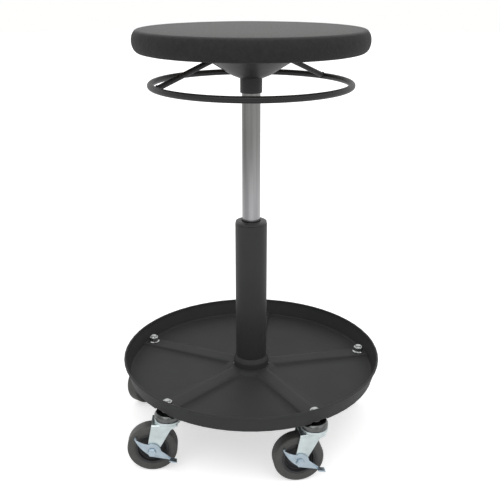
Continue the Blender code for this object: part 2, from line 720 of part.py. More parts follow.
def seat_cushion_mesh():
    """Turn the moulded seat: crowned top, rounded edge drawn in below, and a pocket for its board."""
    waist_z = SEAT_Z + SEAT_WAIST
    pocket_z = INSERT_Z + INSERT_THICKNESS + SEAT_GAP
    pocket = INSERT_RADIUS + SEAT_GAP
    flat = SEAT_RADIUS - SEAT_TOP_EDGE
    profile = [(0.0, SEAT_TOP_Z), (SEAT_FLAT_RADIUS, SEAT_TOP_Z)]
    for share in (0.5, 0.8):
        radius = SEAT_FLAT_RADIUS + (flat - SEAT_FLAT_RADIUS) * share
        profile.append((radius, SEAT_TOP_Z - SEAT_CROWN * share**2))
    for k in range(EDGE_STEPS + 1):
        a = pi / 2 * (1 - k / EDGE_STEPS)
        rise = SEAT_TOP_Z - SEAT_CROWN - waist_z
        profile.append((flat + SEAT_TOP_EDGE * cos(a), waist_z + rise * sin(a)))
    for k in range(1, EDGE_STEPS + 1):
        a = pi / 2 * k / EDGE_STEPS
        profile.append((SEAT_RADIUS - SEAT_BOTTOM_EDGE * (1 - cos(a)), waist_z - SEAT_WAIST * sin(a)))
    profile += [(pocket, SEAT_Z), (pocket, pocket_z), (0.0, pocket_z)]
    return turned(profile, SEAT_SEGMENTS, "seat_cushion")


def caster_stem_mesh():
    """Turn a caster's fixed head: kingpin, race cup, collar and threaded stem in one forging."""
    head_top = FORK_UNDER_Z - SEAT_GAP
    skirt_z = FORK_TOP_Z + CUP_SKIRT_CLEARANCE
    shoulder_z = COLLAR_Z - CUP_SHOULDER_DROP
    profile = [
        (0.0, STEM_TOP_Z),
        (STEM_RADIUS - STEM_SPARE / 2, STEM_TOP_Z),
        (STEM_RADIUS, STEM_TOP_Z - STEM_SPARE / 2),
        (STEM_RADIUS, STEM_SHOULDER_Z),
        (COLLAR_RADIUS, STEM_SHOULDER_Z),
        (COLLAR_RADIUS, COLLAR_Z),
        (CUP_RADIUS - CUP_WALL, COLLAR_Z - CUP_WALL / 2),
        (CUP_RADIUS, shoulder_z),
        (CUP_RADIUS, skirt_z),
        (CUP_RADIUS - CUP_WALL, skirt_z),
        (CUP_RADIUS - CUP_WALL, CUP_CEILING_Z),
        (KINGPIN_RADIUS, CUP_CEILING_Z),
        (KINGPIN_RADIUS, head_top),
        (KINGPIN_HEAD_RADIUS, head_top),
        (KINGPIN_HEAD_RADIUS, head_top - KINGPIN_HEAD_HEIGHT),
        (0.0, head_top - KINGPIN_HEAD_HEIGHT),
    ]
    return turned(profile, STEM_SEGMENTS, "caster_stem")


def ball_ring_mesh():
    """Turn the ball ring between the race cup and the fork, drawn as one round-section ring."""
    section = arc((BALL_RING_RADIUS, BALL_Z), BALL_RADIUS, pi / 2, pi / 2 - tau, 6)[:-1]
    return turned(section, INNER_SEGMENTS, "ball_ring")


def caster_nut_mesh():
    """Make the flanged hex nut that clamps a stem to the tray."""
    bore = STEM_RADIUS + SEAT_GAP
    flange = cylinder(NUT_FLANGE_RADIUS, (0, 0, NUT_Z), (0, 0, NUT_Z + NUT_FLANGE_HEIGHT), 16)
    top = NUT_Z + NUT_FLANGE_HEIGHT + NUT_HEIGHT
    corner_radius = NUT_ACROSS_FLATS / 2 / cos(pi / 6)
    body = cylinder(corner_radius, (0, 0, NUT_Z + NUT_FLANGE_HEIGHT / 2), (0, 0, top), 6)
    solid = combined("caster_nut", flange, [body], "UNION")
    hole = cylinder(bore, (0, 0, NUT_Z - NUT_HEIGHT), (0, 0, top + NUT_HEIGHT), 16)
    return combined("caster_nut", solid, [hole], "DIFFERENCE")


def fork_mesh():
    """Bend the fork: a channel section cut to the legs' side outline, then pierced."""
    bend = FORK_BEND_RADIUS
    top, under = FORK_TOP_Z, FORK_UNDER_Z
    low = AXLE_Z - FORK_FOOT_RADIUS - SEAT_GAP
    outer = arc((LEG_OUTER - bend, top - bend), bend, 0, pi / 2, 2)
    right = [(LEG_INNER, low), (LEG_OUTER, low), *outer]
    left = [(-y, z) for y, z in reversed(right)]
    section = [(LEG_INNER, under), *right, *left, (-LEG_INNER, under)]
    rear, front = CASTER_OFFSET + FORK_FOOT_RADIUS, FORK_PLATE_FRONT
    channel = prism(section, -rear - bend, front + bend, "channel")
    channel.transform(Matrix.Rotation(-pi / 2, 4, "Z"))
    shoulder = under - FORK_LEG_SHOULDER
    axle = Vector((-CASTER_OFFSET, AXLE_Z))
    front_edge = tangent_angle(axle, FORK_FOOT_RADIUS, Vector((FORK_LEG_FRONT, shoulder)), 1)
    rear_edge = tangent_angle(axle, FORK_FOOT_RADIUS, Vector((-FORK_LEG_REAR, top)), -1)
    foot = arc(axle, FORK_FOOT_RADIUS, rear_edge, front_edge + tau, 6)
    outline = [
        (-FORK_LEG_REAR, top + bend),
        *foot,
        (FORK_LEG_FRONT, shoulder),
        (front, under - SEAT_GAP),
        (front, top + bend),
    ]
    side = prism(outline, -LEG_OUTER - bend, LEG_OUTER + bend, "side")
    fork = combined("fork", channel, [side], "INTERSECT")
    eye = cylinder(
        AXLE_RADIUS + SEAT_GAP,
        (-CASTER_OFFSET, -LEG_OUTER - bend, AXLE_Z),
        (-CASTER_OFFSET, LEG_OUTER + bend, AXLE_Z),
        16,
    )
    pin = cylinder(KINGPIN_RADIUS + RUN_GAP, (0, 0, under - bend), (0, 0, top + bend), 16)
    return combined("fork", fork, [eye, pin], "DIFFERENCE")


def tangent_angle(centre, radius, point, side):
    """Return the angle on a circle at which a line from an outside point touches it."""
    away = point - centre
    spread = pi / 2 - asin(radius / away.length)
    return atan2(away.y, away.x) - side * spread


def axle_mesh(braked):
    """Make a wheel's axle: a hex head on the brake's side and a round peened end on the other."""
    seat = -LEG_OUTER - SEAT_GAP
    if braked:
        seat -= BRAKE_SHEET + SEAT_GAP
    far = LEG_OUTER + SEAT_GAP
    shaft = cylinder(AXLE_RADIUS, (0, seat - AXLE_HEAD_HEIGHT / 2, 0), (0, far + AXLE_HEAD_HEIGHT / 4, 0), 12)
    head = cylinder(AXLE_HEAD_RADIUS, (0, seat - AXLE_HEAD_HEIGHT, 0), (0, seat, 0), 6)
    peened = cylinder(AXLE_HEAD_RADIUS, (0, far, 0), (0, far + AXLE_HEAD_HEIGHT / 2, 0), 12)
    mesh = combined("axle", shaft, [head, peened], "UNION")
    mesh.transform(Matrix.Translation((-CASTER_OFFSET, 0, AXLE_Z)))
    return mesh


def on_axle(mesh):
    """Turn a mesh spun round Z so that it spins about the wheel's axle and stands on a flat of its tread."""
    half_step = Matrix.Rotation(pi / WHEEL_SEGMENTS, 4, "Z")
    upright = Matrix.Rotation(pi / 2, 4, "X")
    mesh.transform(Matrix.Translation((-CASTER_OFFSET, 0, AXLE_Z)) @ upright @ half_step)
    return mesh


def tyre_mesh():
    """Turn the tyre: flat tread, rounded shoulders and a bore for the core."""
    half, edge = WHEEL_WIDTH / 2, TYRE_EDGE_RADIUS
    bore = WHEEL_RADIUS - TYRE_DEPTH
    upper = arc((TREAD_RADIUS - edge, half - edge), edge, pi / 2, 0, 2)
    lower = [(r, -y) for r, y in reversed(upper)]
    profile = [(bore, half - CORE_RIM_INSET), *upper, *lower, (bore, CORE_RIM_INSET - half)]
    return on_axle(turned(profile, WHEEL_SEGMENTS, "tyre"))


def wheel_core_mesh():
    """Turn the moulded core: rim band, dished web and a hub as wide as the wheel."""
    rim = WHEEL_RADIUS - TYRE_DEPTH - SEAT_GAP
    inner = rim - CORE_RIM_THICKNESS
    half = WHEEL_WIDTH / 2
    band = half - CORE_RIM_INSET
    web = CORE_WEB_THICKNESS / 2
    upper = [(AXLE_RADIUS + RUN_GAP, half), (HUB_RADIUS, half), (inner, web), (inner, band), (rim, band)]
    lower = [(r, -y) for r, y in reversed(upper)]
    return on_axle(turned(upper + lower, WHEEL_SEGMENTS, "wheel_core"))


def brake_lever_mesh():
    """Cut the crescent lever, bend out its pedal and raise the lug that grips the tyre's side."""
    near = -LEG_OUTER - SEAT_GAP
    far = near - BRAKE_SHEET
    boss = arc((0, 0), BRAKE_BOSS_RADIUS, radians(113), radians(5), 6)
    tip = Vector((-BRAKE_TIP_REACH, BRAKE_TIP_RISE))
    keel = Vector((0.0, -BRAKE_KEEL_DEPTH))
    heel = Vector((BRAKE_HEEL_REACH, -BRAKE_HEEL_DROP))
    belly = bowed(keel, tip, BRAKE_BELLY_BOW, 6)
    hollow = bowed(tip, Vector(boss[0]), -BRAKE_TIP_HOLLOW, 4)
    heel_top = heel + Vector((0.0, BRAKE_HEEL_HEIGHT))
    plate = prism([heel, *belly, *hollow[1:-1], *boss, heel_top], far, near, "plate")
    along = (heel - keel).normalized()
    up = Vector((-along.y, along.x)) * BRAKE_SHEET
    start = (heel + heel_top - up) / 2 - along * BRAKE_SHEET
    end = start + along * BRAKE_PEDAL_WIDTH
    pedal = prism([start, end, end + up, start + up], far - BRAKE_PEDAL_LENGTH, near, "pedal")
    tread_side = -WHEEL_WIDTH / 2 - BRAKE_LUG_CLEARANCE
    lug_place = tip * (1 - BRAKE_LUG_INSET / tip.length)
    lug = cylinder(
        BRAKE_LUG_RADIUS,
        (lug_place.x, near - BRAKE_SHEET / 2, lug_place.y),
        (lug_place.x, tread_side, lug_place.y),
        10,
    )
    lever = combined("brake", plate, [pedal, lug], "UNION")
    reach = BRAKE_BOSS_RADIUS
    bore = cylinder(AXLE_RADIUS + RUN_GAP, (0, far - reach, 0), (0, near + reach, 0), 16)
    lever = combined("brake", lever, [bore], "DIFFERENCE")
    lever.transform(Matrix.Translation((-CASTER_OFFSET, 0, AXLE_Z)))
    return lever


def bowed(first, last, bow, steps):
    """Return points from one point to another on an arc that bulges to the left by bow, or to the right."""
    chord = last - first
    half = chord.length / 2
    radius = (half**2 + bow**2) / (2 * bow)
    side = Vector((-chord.y, chord.x)).normalized()
    centre = (first + last) / 2 - side * (radius - bow)
    middle, spread = atan2(side.y, side.x), asin(half / radius)
    return arc(centre, radius, middle + spread, middle - spread, steps)


def build_base():
    """Build the tray, the column and what stands still inside it."""
    add_object("tool_tray", tray_mesh(), "tray_paint")
    add_object("column_socket", column_socket_mesh(), "black_paint")
    add_object("column_tube", column_tube_mesh(), "black_paint")
    add_object("guide_bush", guide_bush_mesh(), "black_plastic")
    foot_bore = ROD_FOOT_RADIUS + RUN_GAP
    bearing_z = END_PLATE_TOP_Z + SEAT_GAP
    bearing = washer_mesh("thrust_bearing", foot_bore, BEARING_RADIUS, bearing_z, BEARING_TOP_Z)
    add_object("thrust_bearing", bearing, "bright_steel")
    bumper_z = BEARING_TOP_Z + SEAT_GAP
    bumper = washer_mesh("rod_bumper", ROD_RADIUS + RUN_GAP, BUMPER_RADIUS, bumper_z, BUMPER_TOP_Z)
    add_object("rod_bumper", bumper, "tyre_rubber")


def build_gas_lift():
    """Build the piston rod and its piston, and the cylinder that slides on them."""
    add_object("piston_rod", piston_rod_mesh(), "bright_steel")
    foot_bore = ROD_FOOT_RADIUS + SEAT_GAP
    clip = washer_mesh("rod_clip", foot_bore, CLIP_RADIUS, CLIP_TOP_Z - CLIP_HEIGHT, CLIP_TOP_Z)
    add_object("rod_clip", clip, "bright_steel")
    piston_top = PISTON_Z + PISTON_HEIGHT
    piston = washer_mesh("piston", foot_bore, CYLINDER_BORE - RUN_GAP, PISTON_Z, piston_top)
    add_object("piston", piston, "black_plastic")
    add_object("gas_cylinder", gas_cylinder_mesh(), "chrome_tube")
    guide_top = CYLINDER_BOTTOM_Z + END_GUIDE_LENGTH
    rod_bore, guide_radius = ROD_RADIUS + RUN_GAP, CYLINDER_BORE - SEAT_GAP
    guide = washer_mesh("end_guide", rod_bore, guide_radius, CYLINDER_BOTTOM_Z, guide_top)
    add_object("cylinder_end_guide", guide, "black_plastic")
    add_object("valve_button", valve_button_mesh(), "bright_steel")


def build_seat():
    """Build the seat, its board and mount, and the lift ring under it."""
    add_object("seat_cushion", seat_cushion_mesh(), "seat_foam")
    add_object("seat_board", seat_insert_mesh(), "plywood")
    add_object("mount_cone", mount_cone_mesh(), "black_paint")
    add_object("taper_socket", taper_socket_mesh(), "black_paint")
    for index in range(SCREW_COUNT):
        add_object(f"seat_screw_{index + 1}", seat_screw_mesh(index), "zinc")
    add_object("lift_ring", lift_ring_mesh(), "black_paint")
    add_object("release_plate", release_plate_mesh(), "zinc")


def build_casters():
    """Build the casters on their circle, each from shared meshes under its own swivel empty."""
    stem, ring, nut, fork = caster_stem_mesh(), ball_ring_mesh(), caster_nut_mesh(), fork_mesh()
    tyre, core, brake = tyre_mesh(), wheel_core_mesh(), brake_lever_mesh()
    axles = {braked: axle_mesh(braked) for braked in (False, True)}
    for index in range(CASTER_COUNT):
        name = f"caster_{index + 1}"
        braked = index in BRAKED_CASTERS
        swivel = bpy.data.objects.new(f"{name}_swivel", None)
        bpy.context.scene.collection.objects.link(swivel)
        swivel.location = ring_points(CASTER_CIRCLE_RADIUS, caster_angle(index), 0.0)
        swivel.rotation_euler.z = CASTER_TRAILS[index] - pi
        add_object(f"{name}_nut", nut, "zinc", swivel)
        add_object(f"{name}_stem", stem, "zinc", swivel)
        add_object(f"{name}_ball_ring", ring, "bright_steel", swivel)
        add_object(f"{name}_fork", fork, "zinc", swivel)
        add_object(f"{name}_axle", axles[braked], "zinc", swivel)
        add_object(f"{name}_wheel_core", core, "wheel_core", swivel)
        add_object(f"{name}_tyre", tyre, "tyre_rubber", swivel)
        if braked:
            add_object(f"{name}_brake_lever", brake, "zinc", swivel)


def main():
    """Build the whole stool."""
    clear_scene()
    build_base()
    build_gas_lift()
    build_seat()
    build_casters()
    bpy.context.view_layer.update()


main()
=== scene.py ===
"""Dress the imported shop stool: smooth forms, finishes, a plain studio and the photograph's camera.

Every piece is made in metres in the part's own frame, with its place in its mesh, and rides on a body.
"""

import json
import logging
from dataclasses import dataclass, field
from enum import Enum
from math import asin, atan2, cos, pi, radians, sin, tan, tau

import bmesh
import bpy
from mathutils import Matrix, Vector, noise

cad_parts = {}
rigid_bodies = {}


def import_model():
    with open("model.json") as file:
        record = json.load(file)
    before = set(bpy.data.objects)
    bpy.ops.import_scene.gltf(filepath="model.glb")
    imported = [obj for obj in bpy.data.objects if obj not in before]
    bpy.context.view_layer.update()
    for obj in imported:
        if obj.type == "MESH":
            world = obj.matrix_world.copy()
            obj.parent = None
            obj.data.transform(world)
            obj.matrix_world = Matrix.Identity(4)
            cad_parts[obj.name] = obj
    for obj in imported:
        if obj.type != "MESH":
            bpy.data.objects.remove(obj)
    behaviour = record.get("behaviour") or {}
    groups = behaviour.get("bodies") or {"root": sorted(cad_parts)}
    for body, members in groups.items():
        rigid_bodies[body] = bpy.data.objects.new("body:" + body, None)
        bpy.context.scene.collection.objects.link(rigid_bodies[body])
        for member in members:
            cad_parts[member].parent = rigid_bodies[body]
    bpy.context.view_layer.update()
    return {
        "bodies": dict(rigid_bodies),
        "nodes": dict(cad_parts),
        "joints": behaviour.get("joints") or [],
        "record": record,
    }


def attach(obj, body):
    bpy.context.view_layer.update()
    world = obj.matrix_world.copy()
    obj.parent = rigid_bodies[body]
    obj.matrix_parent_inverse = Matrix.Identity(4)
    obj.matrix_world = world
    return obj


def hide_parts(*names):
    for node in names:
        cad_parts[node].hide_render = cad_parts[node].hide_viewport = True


LOG = logging.getLogger("shop_stool")

Point2 = tuple[float, float]
Point3 = tuple[float, float, float]
Corner = tuple[float, float, float]
Colour = tuple[float, float, float]

WELD_DISTANCE = 1e-6
SHARP_ANGLE = radians(32)
EASED_ANGLE = radians(28)
RUB_START = radians(14)
RUB_SPAN = radians(34)
CORNER_REACH = 0.49
TURNED_SEGMENTS = 96
ROD_SIDES = 24
BEND_STEPS = 8

# The colour Mix node's sockets by number, since their names repeat.
MIX_SHARE = 0
MIX_FIRST = 6
MIX_SECOND = 7
MIX_COLOUR = 2


class Finish(Enum):
    """The finishes on the stool, each by the record's material slot or by its own name."""

    SEAT_SKIN = "seat_foam"
    SATIN_PAINT = "black_paint"
    COLUMN_PAINT = "column paint"
    TRAY_COAT = "tray_paint"
    NYLON = "black_plastic"
    DRAWN_TUBE = "chrome_tube"
    ZINC_PLATE = "zinc"
    # Painted shade on the nuts down in the tray: a darker copy of the zinc plate.
    SHADED_NUT_PLATE = "shaded nut zinc"
    # Painted shade on the caster cups under the tray: a darkened copy of the zinc plate.
    PAINTED_SHADE_PLATE = "painted shade zinc"
    BLUE_PLATE = "blue zinc"
    GROUND_STEEL = "bright_steel"
    TYRE_RUBBER = "tyre_rubber"
    WHEEL_NYLON = "wheel_core"
    PLYWOOD = "plywood"

    @property
    def slot(self) -> str:
        """Return the record's material slot that the finish belongs to."""
        if self in (Finish.SHADED_NUT_PLATE, Finish.PAINTED_SHADE_PLATE, Finish.BLUE_PLATE):
            return Finish.ZINC_PLATE.value
        return Finish.SATIN_PAINT.value if self is Finish.COLUMN_PAINT else self.value


class AxleKind(Enum):
    """Whether an axle's head sits on the fork leg or on a brake lever."""

    PLAIN = "plain"
    BRAKED = "braked"


# Mesh helpers


def applied_mesh(obj: bpy.types.Object) -> bpy.types.Mesh:
    """Turn an object and its modifiers into a plain mesh.

    Args:
        obj: An object that is linked to the scene.

    Returns:
        A new mesh, as the modifiers leave it.
    """
    bpy.context.view_layer.update()
    graph = bpy.context.evaluated_depsgraph_get()
    return bpy.data.meshes.new_from_object(obj.evaluated_get(graph), depsgraph=graph)


def mesh_of(name: str, bm: bmesh.types.BMesh) -> bpy.types.Mesh:
    """Turn an edit mesh into a plain mesh and free it.

    Args:
        name: The new mesh's name.
        bm: The edit mesh.

    Returns:
        The new mesh.
    """
    mesh = bpy.data.meshes.new(name)
    bm.to_mesh(mesh)
    bm.free()
    return mesh


def linked(name: str, data: bpy.types.ID) -> bpy.types.Object:
    """Make an object and link it to the scene.

    Args:
        name: The object's name.
        data: Its mesh, lamp or camera.

    Returns:
        The new object.
    """
    obj = bpy.data.objects.new(name, data)
    bpy.context.scene.collection.objects.link(obj)
    return obj


def outward(mesh: bpy.types.Mesh) -> bpy.types.Mesh:
    """Merge a closed mesh's doubles and point its faces out.

    Args:
        mesh: The mesh to mend in place.

    Returns:
        The same mesh.
    """
    bm = bmesh.new()
    bm.from_mesh(mesh)
    bmesh.ops.remove_doubles(bm, verts=bm.verts, dist=WELD_DISTANCE)
    bmesh.ops.recalc_face_normals(bm, faces=bm.faces)
    bm.to_mesh(mesh)
    bm.free()
    return mesh


def finished(mesh: bpy.types.Mesh, sharp: float = SHARP_ANGLE) -> bpy.types.Mesh:
    """Shade a mesh smooth and note where its edges stand out, for rubbed finishes.

    Args:
        mesh: The mesh to finish in place.
        sharp: The angle past which an edge stays sharp.

    Returns:
        The same mesh, with a point attribute called rub.
    """
    bm = bmesh.new()
    bm.from_mesh(mesh)
    rub = []
    for vert in bm.verts:
        bend = max((edge.calc_face_angle_signed(0.0) for edge in vert.link_edges), default=0.0)
        rub.append(min(max((bend - RUB_START) / RUB_SPAN, 0.0), 1.0))
    bm.free()
    mesh.attributes.new("rub", "FLOAT", "POINT").data.foreach_set("value", rub)
    mesh.shade_smooth()
    mesh.set_sharp_from_angle(angle=sharp)
    return mesh


def joined(name: str, meshes: list[bpy.types.Mesh]) -> bpy.types.Mesh:
    """Put several meshes into one.

    Args:
        name: The new mesh's name.
        meshes: The meshes to put together.

    Returns:
        One mesh with all their faces.
    """
    bm = bmesh.new()
    for mesh in meshes:
        bm.from_mesh(mesh)
    return mesh_of(name, bm)


def with_modifiers(mesh: bpy.types.Mesh, steps: list[tuple[str, dict[str, object]]]) -> bpy.types.Mesh:
    """Run modifiers on a mesh.

    Args:
        mesh: The mesh to start from.
        steps: Each modifier's type and its settings, in order.

    Returns:
        A new mesh with the modifiers applied.
    """
    obj = linked("work", mesh)
    for kind, settings in steps:
        modifier = obj.modifiers.new(kind.lower(), kind)
        for key, value in settings.items():
            setattr(modifier, key, value)
    result = applied_mesh(obj)
    bpy.data.objects.remove(obj)
    return result


def edge_step(width: float, segments: int, angle: float) -> tuple[str, dict[str, object]]:
    """Return the modifier step that rounds every edge past an angle."""
    settings = {"width": width, "segments": segments, "limit_method": "ANGLE", "angle_limit": angle}
    return "BEVEL", settings


def eased(
    mesh: bpy.types.Mesh, width: float, segments: int = 3, angle: float = EASED_ANGLE
) -> bpy.types.Mesh:
    """Round a mesh's sharp edges.

    Args:
        mesh: The mesh to start from.
        width: How wide the rounding is.
        segments: How many steps it has.
        angle: The edge angle from which an edge is rounded.

    Returns:
        A new mesh with its edges rounded.
    """
    return with_modifiers(mesh, [edge_step(width, segments, angle)])


def prism(outline: list[Point2], low: float, high: float) -> bpy.types.Mesh:
    """Extrude an outline of (x, z) points along Y.

    Args:
        outline: The outline's points in order.
        low: Where the extrusion starts on Y.
        high: Where it ends.

    Returns:
        A closed mesh.
    """
    bm = bmesh.new()
    base = bm.faces.new([bm.verts.new((x, low, z)) for x, z in outline])
    grown = bmesh.ops.extrude_face_region(bm, geom=[base])
    moved = [item for item in grown["geom"] if isinstance(item, bmesh.types.BMVert)]
    bmesh.ops.translate(bm, vec=(0, high - low, 0), verts=moved)
    bmesh.ops.recalc_face_normals(bm, faces=bm.faces)
    return mesh_of("prism", bm)


def less(mesh: bpy.types.Mesh, cutters: list[bpy.types.Mesh]) -> bpy.types.Mesh:
    """Cut closed meshes out of a closed mesh.

    Args:
        mesh: The mesh that is cut.
        cutters: The meshes that are taken away.

    Returns:
        A new mesh.
    """
    tools = [linked("cutter", cutter) for cutter in cutters]
    steps = [("BOOLEAN", {"operation": "DIFFERENCE", "object": tool}) for tool in tools]
    result = with_modifiers(mesh, steps)
    for tool in tools:
        bpy.data.objects.remove(tool)
    return result


def arc(centre: Point2, radius: float, start: float, end: float, steps: int) -> list[Point2]:
    """Return points on an arc, both ends included.

    Args:
        centre: The arc's centre.
        radius: Its radius.
        start: The angle of the first point.
        end: The angle of the last point.
        steps: How many steps lie between them.

    Returns:
        The points in order.
    """
    angles = [start + (end - start) * k / steps for k in range(steps + 1)]
    return [(centre[0] + radius * cos(a), centre[1] + radius * sin(a)) for a in angles]


def bowed(first: Vector, last: Vector, bow: float, steps: int) -> list[Point2]:
    """Return points on an arc that bulges to one side of the way between two points.

    Args:
        first: Where the arc starts.
        last: Where it ends.
        bow: How far it bulges to the left of the way, or to the right where negative.
        steps: How many steps it has.

    Returns:
        The points in order.
    """
    chord = last - first
    half = chord.length / 2
    radius = (half**2 + bow**2) / (2 * bow)
    side = Vector((-chord.y, chord.x)).normalized()
    centre = (first + last) / 2 - side * (radius - bow)
    middle, spread = atan2(side.y, side.x), asin(half / radius)
    return arc((centre.x, centre.y), radius, middle + spread, middle - spread, steps)


def rounded(corners: list[Corner], closed: bool, steps: int = 5) -> list[Point2]:
    """Round the corners of an outline, each to its own radius.

    Args:
        corners: Each corner's two coordinates and its radius.
        closed: Whether the last corner leads back to the first.
        steps: How many steps a rounded corner has.

    Returns:
        The outline's points in order.
    """
    points: list[Point2] = []
    count = len(corners)
    for k, (x, y, radius) in enumerate(corners):
        here = Vector((x, y))
        if radius <= 0.0 or (not closed and k in (0, count - 1)):
            points.append((x, y))
            continue
        before = Vector(corners[k - 1][:2]) - here
        after = Vector(corners[(k + 1) % count][:2]) - here
        opening = before.angle(after)
        reach = min(radius / tan(opening / 2), CORNER_REACH * before.length, CORNER_REACH * after.length)
        true_radius = reach * tan(opening / 2)
        middle = (before.normalized() + after.normalized()).normalized()
        centre = here + middle * (true_radius / sin(opening / 2))
        start = here + before.normalized() * reach - centre
        end = here + after.normalized() * reach - centre
        first = atan2(start.y, start.x)
        sweep = (atan2(end.y, end.x) - first + pi) % tau - pi
        points += arc((centre.x, centre.y), true_radius, first, first + sweep, steps)
    return points


def smoothstep(low: float, high: float, value: float) -> float:
    """Return 0 below low, 1 above high and an eased value between."""
    share = min(max((value - low) / (high - low), 0.0), 1.0)
    return share * share * (3.0 - 2.0 * share)


# Node helpers


def feed(tree: bpy.types.NodeTree, socket: bpy.types.NodeSocket, value: object) -> None:
    """Give a node's input what it takes.

    Args:
        tree: The tree that the node is in.
        socket: The node's input.
        value: A socket to link or a value to set.
    """
    if isinstance(value, bpy.types.NodeSocket):
        tree.links.new(value, socket)
    else:
        socket.default_value = value


def math_node(tree: bpy.types.NodeTree, operation: str, *operands: object) -> bpy.types.NodeSocket:
    """Add a Math node.

    Args:
        tree: The tree that takes it.
        operation: The operation's name.
        *operands: Sockets or numbers, in order.

    Returns:
        The result's socket.
    """
    node = tree.nodes.new("ShaderNodeMath")
    node.operation = operation
    for socket, value in zip(node.inputs, operands):
        feed(tree, socket, value)
    return node.outputs[0]


def colour_mix(
    tree: bpy.types.NodeTree, share: bpy.types.NodeSocket, first: object, second: object
) -> bpy.types.NodeSocket:
    """Mix two colours.

    Args:
        tree: The tree that takes the node.
        share: How much of the second colour there is.
        first: The first colour, as a socket or a value.
        second: The second colour.

    Returns:
        The mixed colour's socket.
    """
    mix = tree.nodes.new("ShaderNodeMix")
    mix.data_type = "RGBA"
    for number, value in ((MIX_SHARE, share), (MIX_FIRST, first), (MIX_SECOND, second)):
        feed(tree, mix.inputs[number], value)
    return mix.outputs[MIX_COLOUR]


def coordinate(tree: bpy.types.NodeTree, kind: str, axis: str) -> bpy.types.NodeSocket:
    """Return one axis of a texture coordinate of the named kind."""
    place = tree.nodes.new("ShaderNodeTexCoord")
    parts = tree.nodes.new("ShaderNodeSeparateXYZ")
    tree.links.new(place.outputs[kind], parts.inputs[0])
    return parts.outputs[axis]


def ramp(
    tree: bpy.types.NodeTree, value: bpy.types.NodeSocket, span: Point2, low: float, high: float
) -> bpy.types.NodeSocket:
    """Let one value rise or fall smoothly while another crosses a span.

    Args:
        tree: The tree that takes the node.
        value: The value that crosses the span.
        span: Where the span starts and ends.
        low: The result before the span.
        high: The result after it.

    Returns:
        The result's socket.
    """
    node = tree.nodes.new("ShaderNodeMapRange")
    node.interpolation_type = "SMOOTHSTEP"
    start, end = span
    settings = {"Value": value, "From Min": start, "From Max": end, "To Min": low, "To Max": high}
    for key, item in settings.items():
        feed(tree, node.inputs[key], item)
    return node.outputs["Result"]


# Geometry Nodes forms


class NodeForm:
    """A Geometry Nodes tree with named inputs that makes one kind of form."""

    def __init__(self, name: str, inputs: dict[str, str]) -> None:
        """Start a tree.

        Args:
            name: The tree's name.
            inputs: The named inputs after Geometry, each with its socket type.
        """
        self.tree = bpy.data.node_groups.new(name, "GeometryNodeTree")
        self.keys: dict[str, str] = {}
        sockets = {"Geometry": "NodeSocketGeometry", **inputs, "Finish": "NodeSocketMaterial"}
        for label, kind in sockets.items():
            socket = self.tree.interface.new_socket(label, in_out="INPUT", socket_type=kind)
            self.keys[label] = socket.identifier
        self.tree.interface.new_socket("Geometry", in_out="OUTPUT", socket_type="NodeSocketGeometry")
        self.entry = self.tree.nodes.new("NodeGroupInput")
        self.exit = self.tree.nodes.new("NodeGroupOutput")

    def given(self, label: str) -> bpy.types.NodeSocket:
        """Return a named input's socket inside the tree."""
        return self.entry.outputs[label]

    def node(self, kind: str, inputs: dict[str | int, object], **settings: object) -> bpy.types.Node:
        """Add a node.

        Args:
            kind: The node's type.
            inputs: What each input takes: a socket to link or a value to set.
            **settings: The node's own settings.

        Returns:
            The new node.
        """
        node = self.tree.nodes.new(kind)
        for key, value in settings.items():
            setattr(node, key, value)
        for key, value in inputs.items():
            feed(self.tree, node.inputs[key], value)
        return node

    def math(self, operation: str, *operands: object) -> bpy.types.NodeSocket:
        """Add a Math node.

        Args:
            operation: The operation's name.
            *operands: Sockets or numbers, in order.

        Returns:
            The result's socket.
        """
        return math_node(self.tree, operation, *operands)

    def close(self, geometry: bpy.types.NodeSocket) -> None:
        """End the tree: make instances real and set the finish.

        Args:
            geometry: The socket that carries the form.
        """
        real = self.node("GeometryNodeRealizeInstances", {"Geometry": geometry})
        dressed = self.node(
            "GeometryNodeSetMaterial", {"Geometry": real.outputs[0], "Material": self.given("Finish")}
        )
        self.tree.links.new(dressed.outputs[0], self.exit.inputs[0])

    def made(self, name: str, base: bpy.types.Mesh, inputs: dict[str, object]) -> bpy.types.Mesh:
        """Run the tree once.

        Args:
            name: The new mesh's name.
            base: The mesh that goes into the tree.
            inputs: The named inputs' values.

        Returns:
            The form as a plain mesh.
        """
        obj = bpy.data.objects.new(name, base)
        modifier = obj.modifiers.new("form", "NODES")
        modifier.node_group = self.tree
        for label, value in inputs.items():
            modifier[self.keys[label]] = value
        bpy.context.scene.collection.objects.link(obj)
        mesh = applied_mesh(obj)
        mesh.name = name
        obj.modifiers.remove(modifier)
        bpy.data.objects.remove(obj)
        return mesh


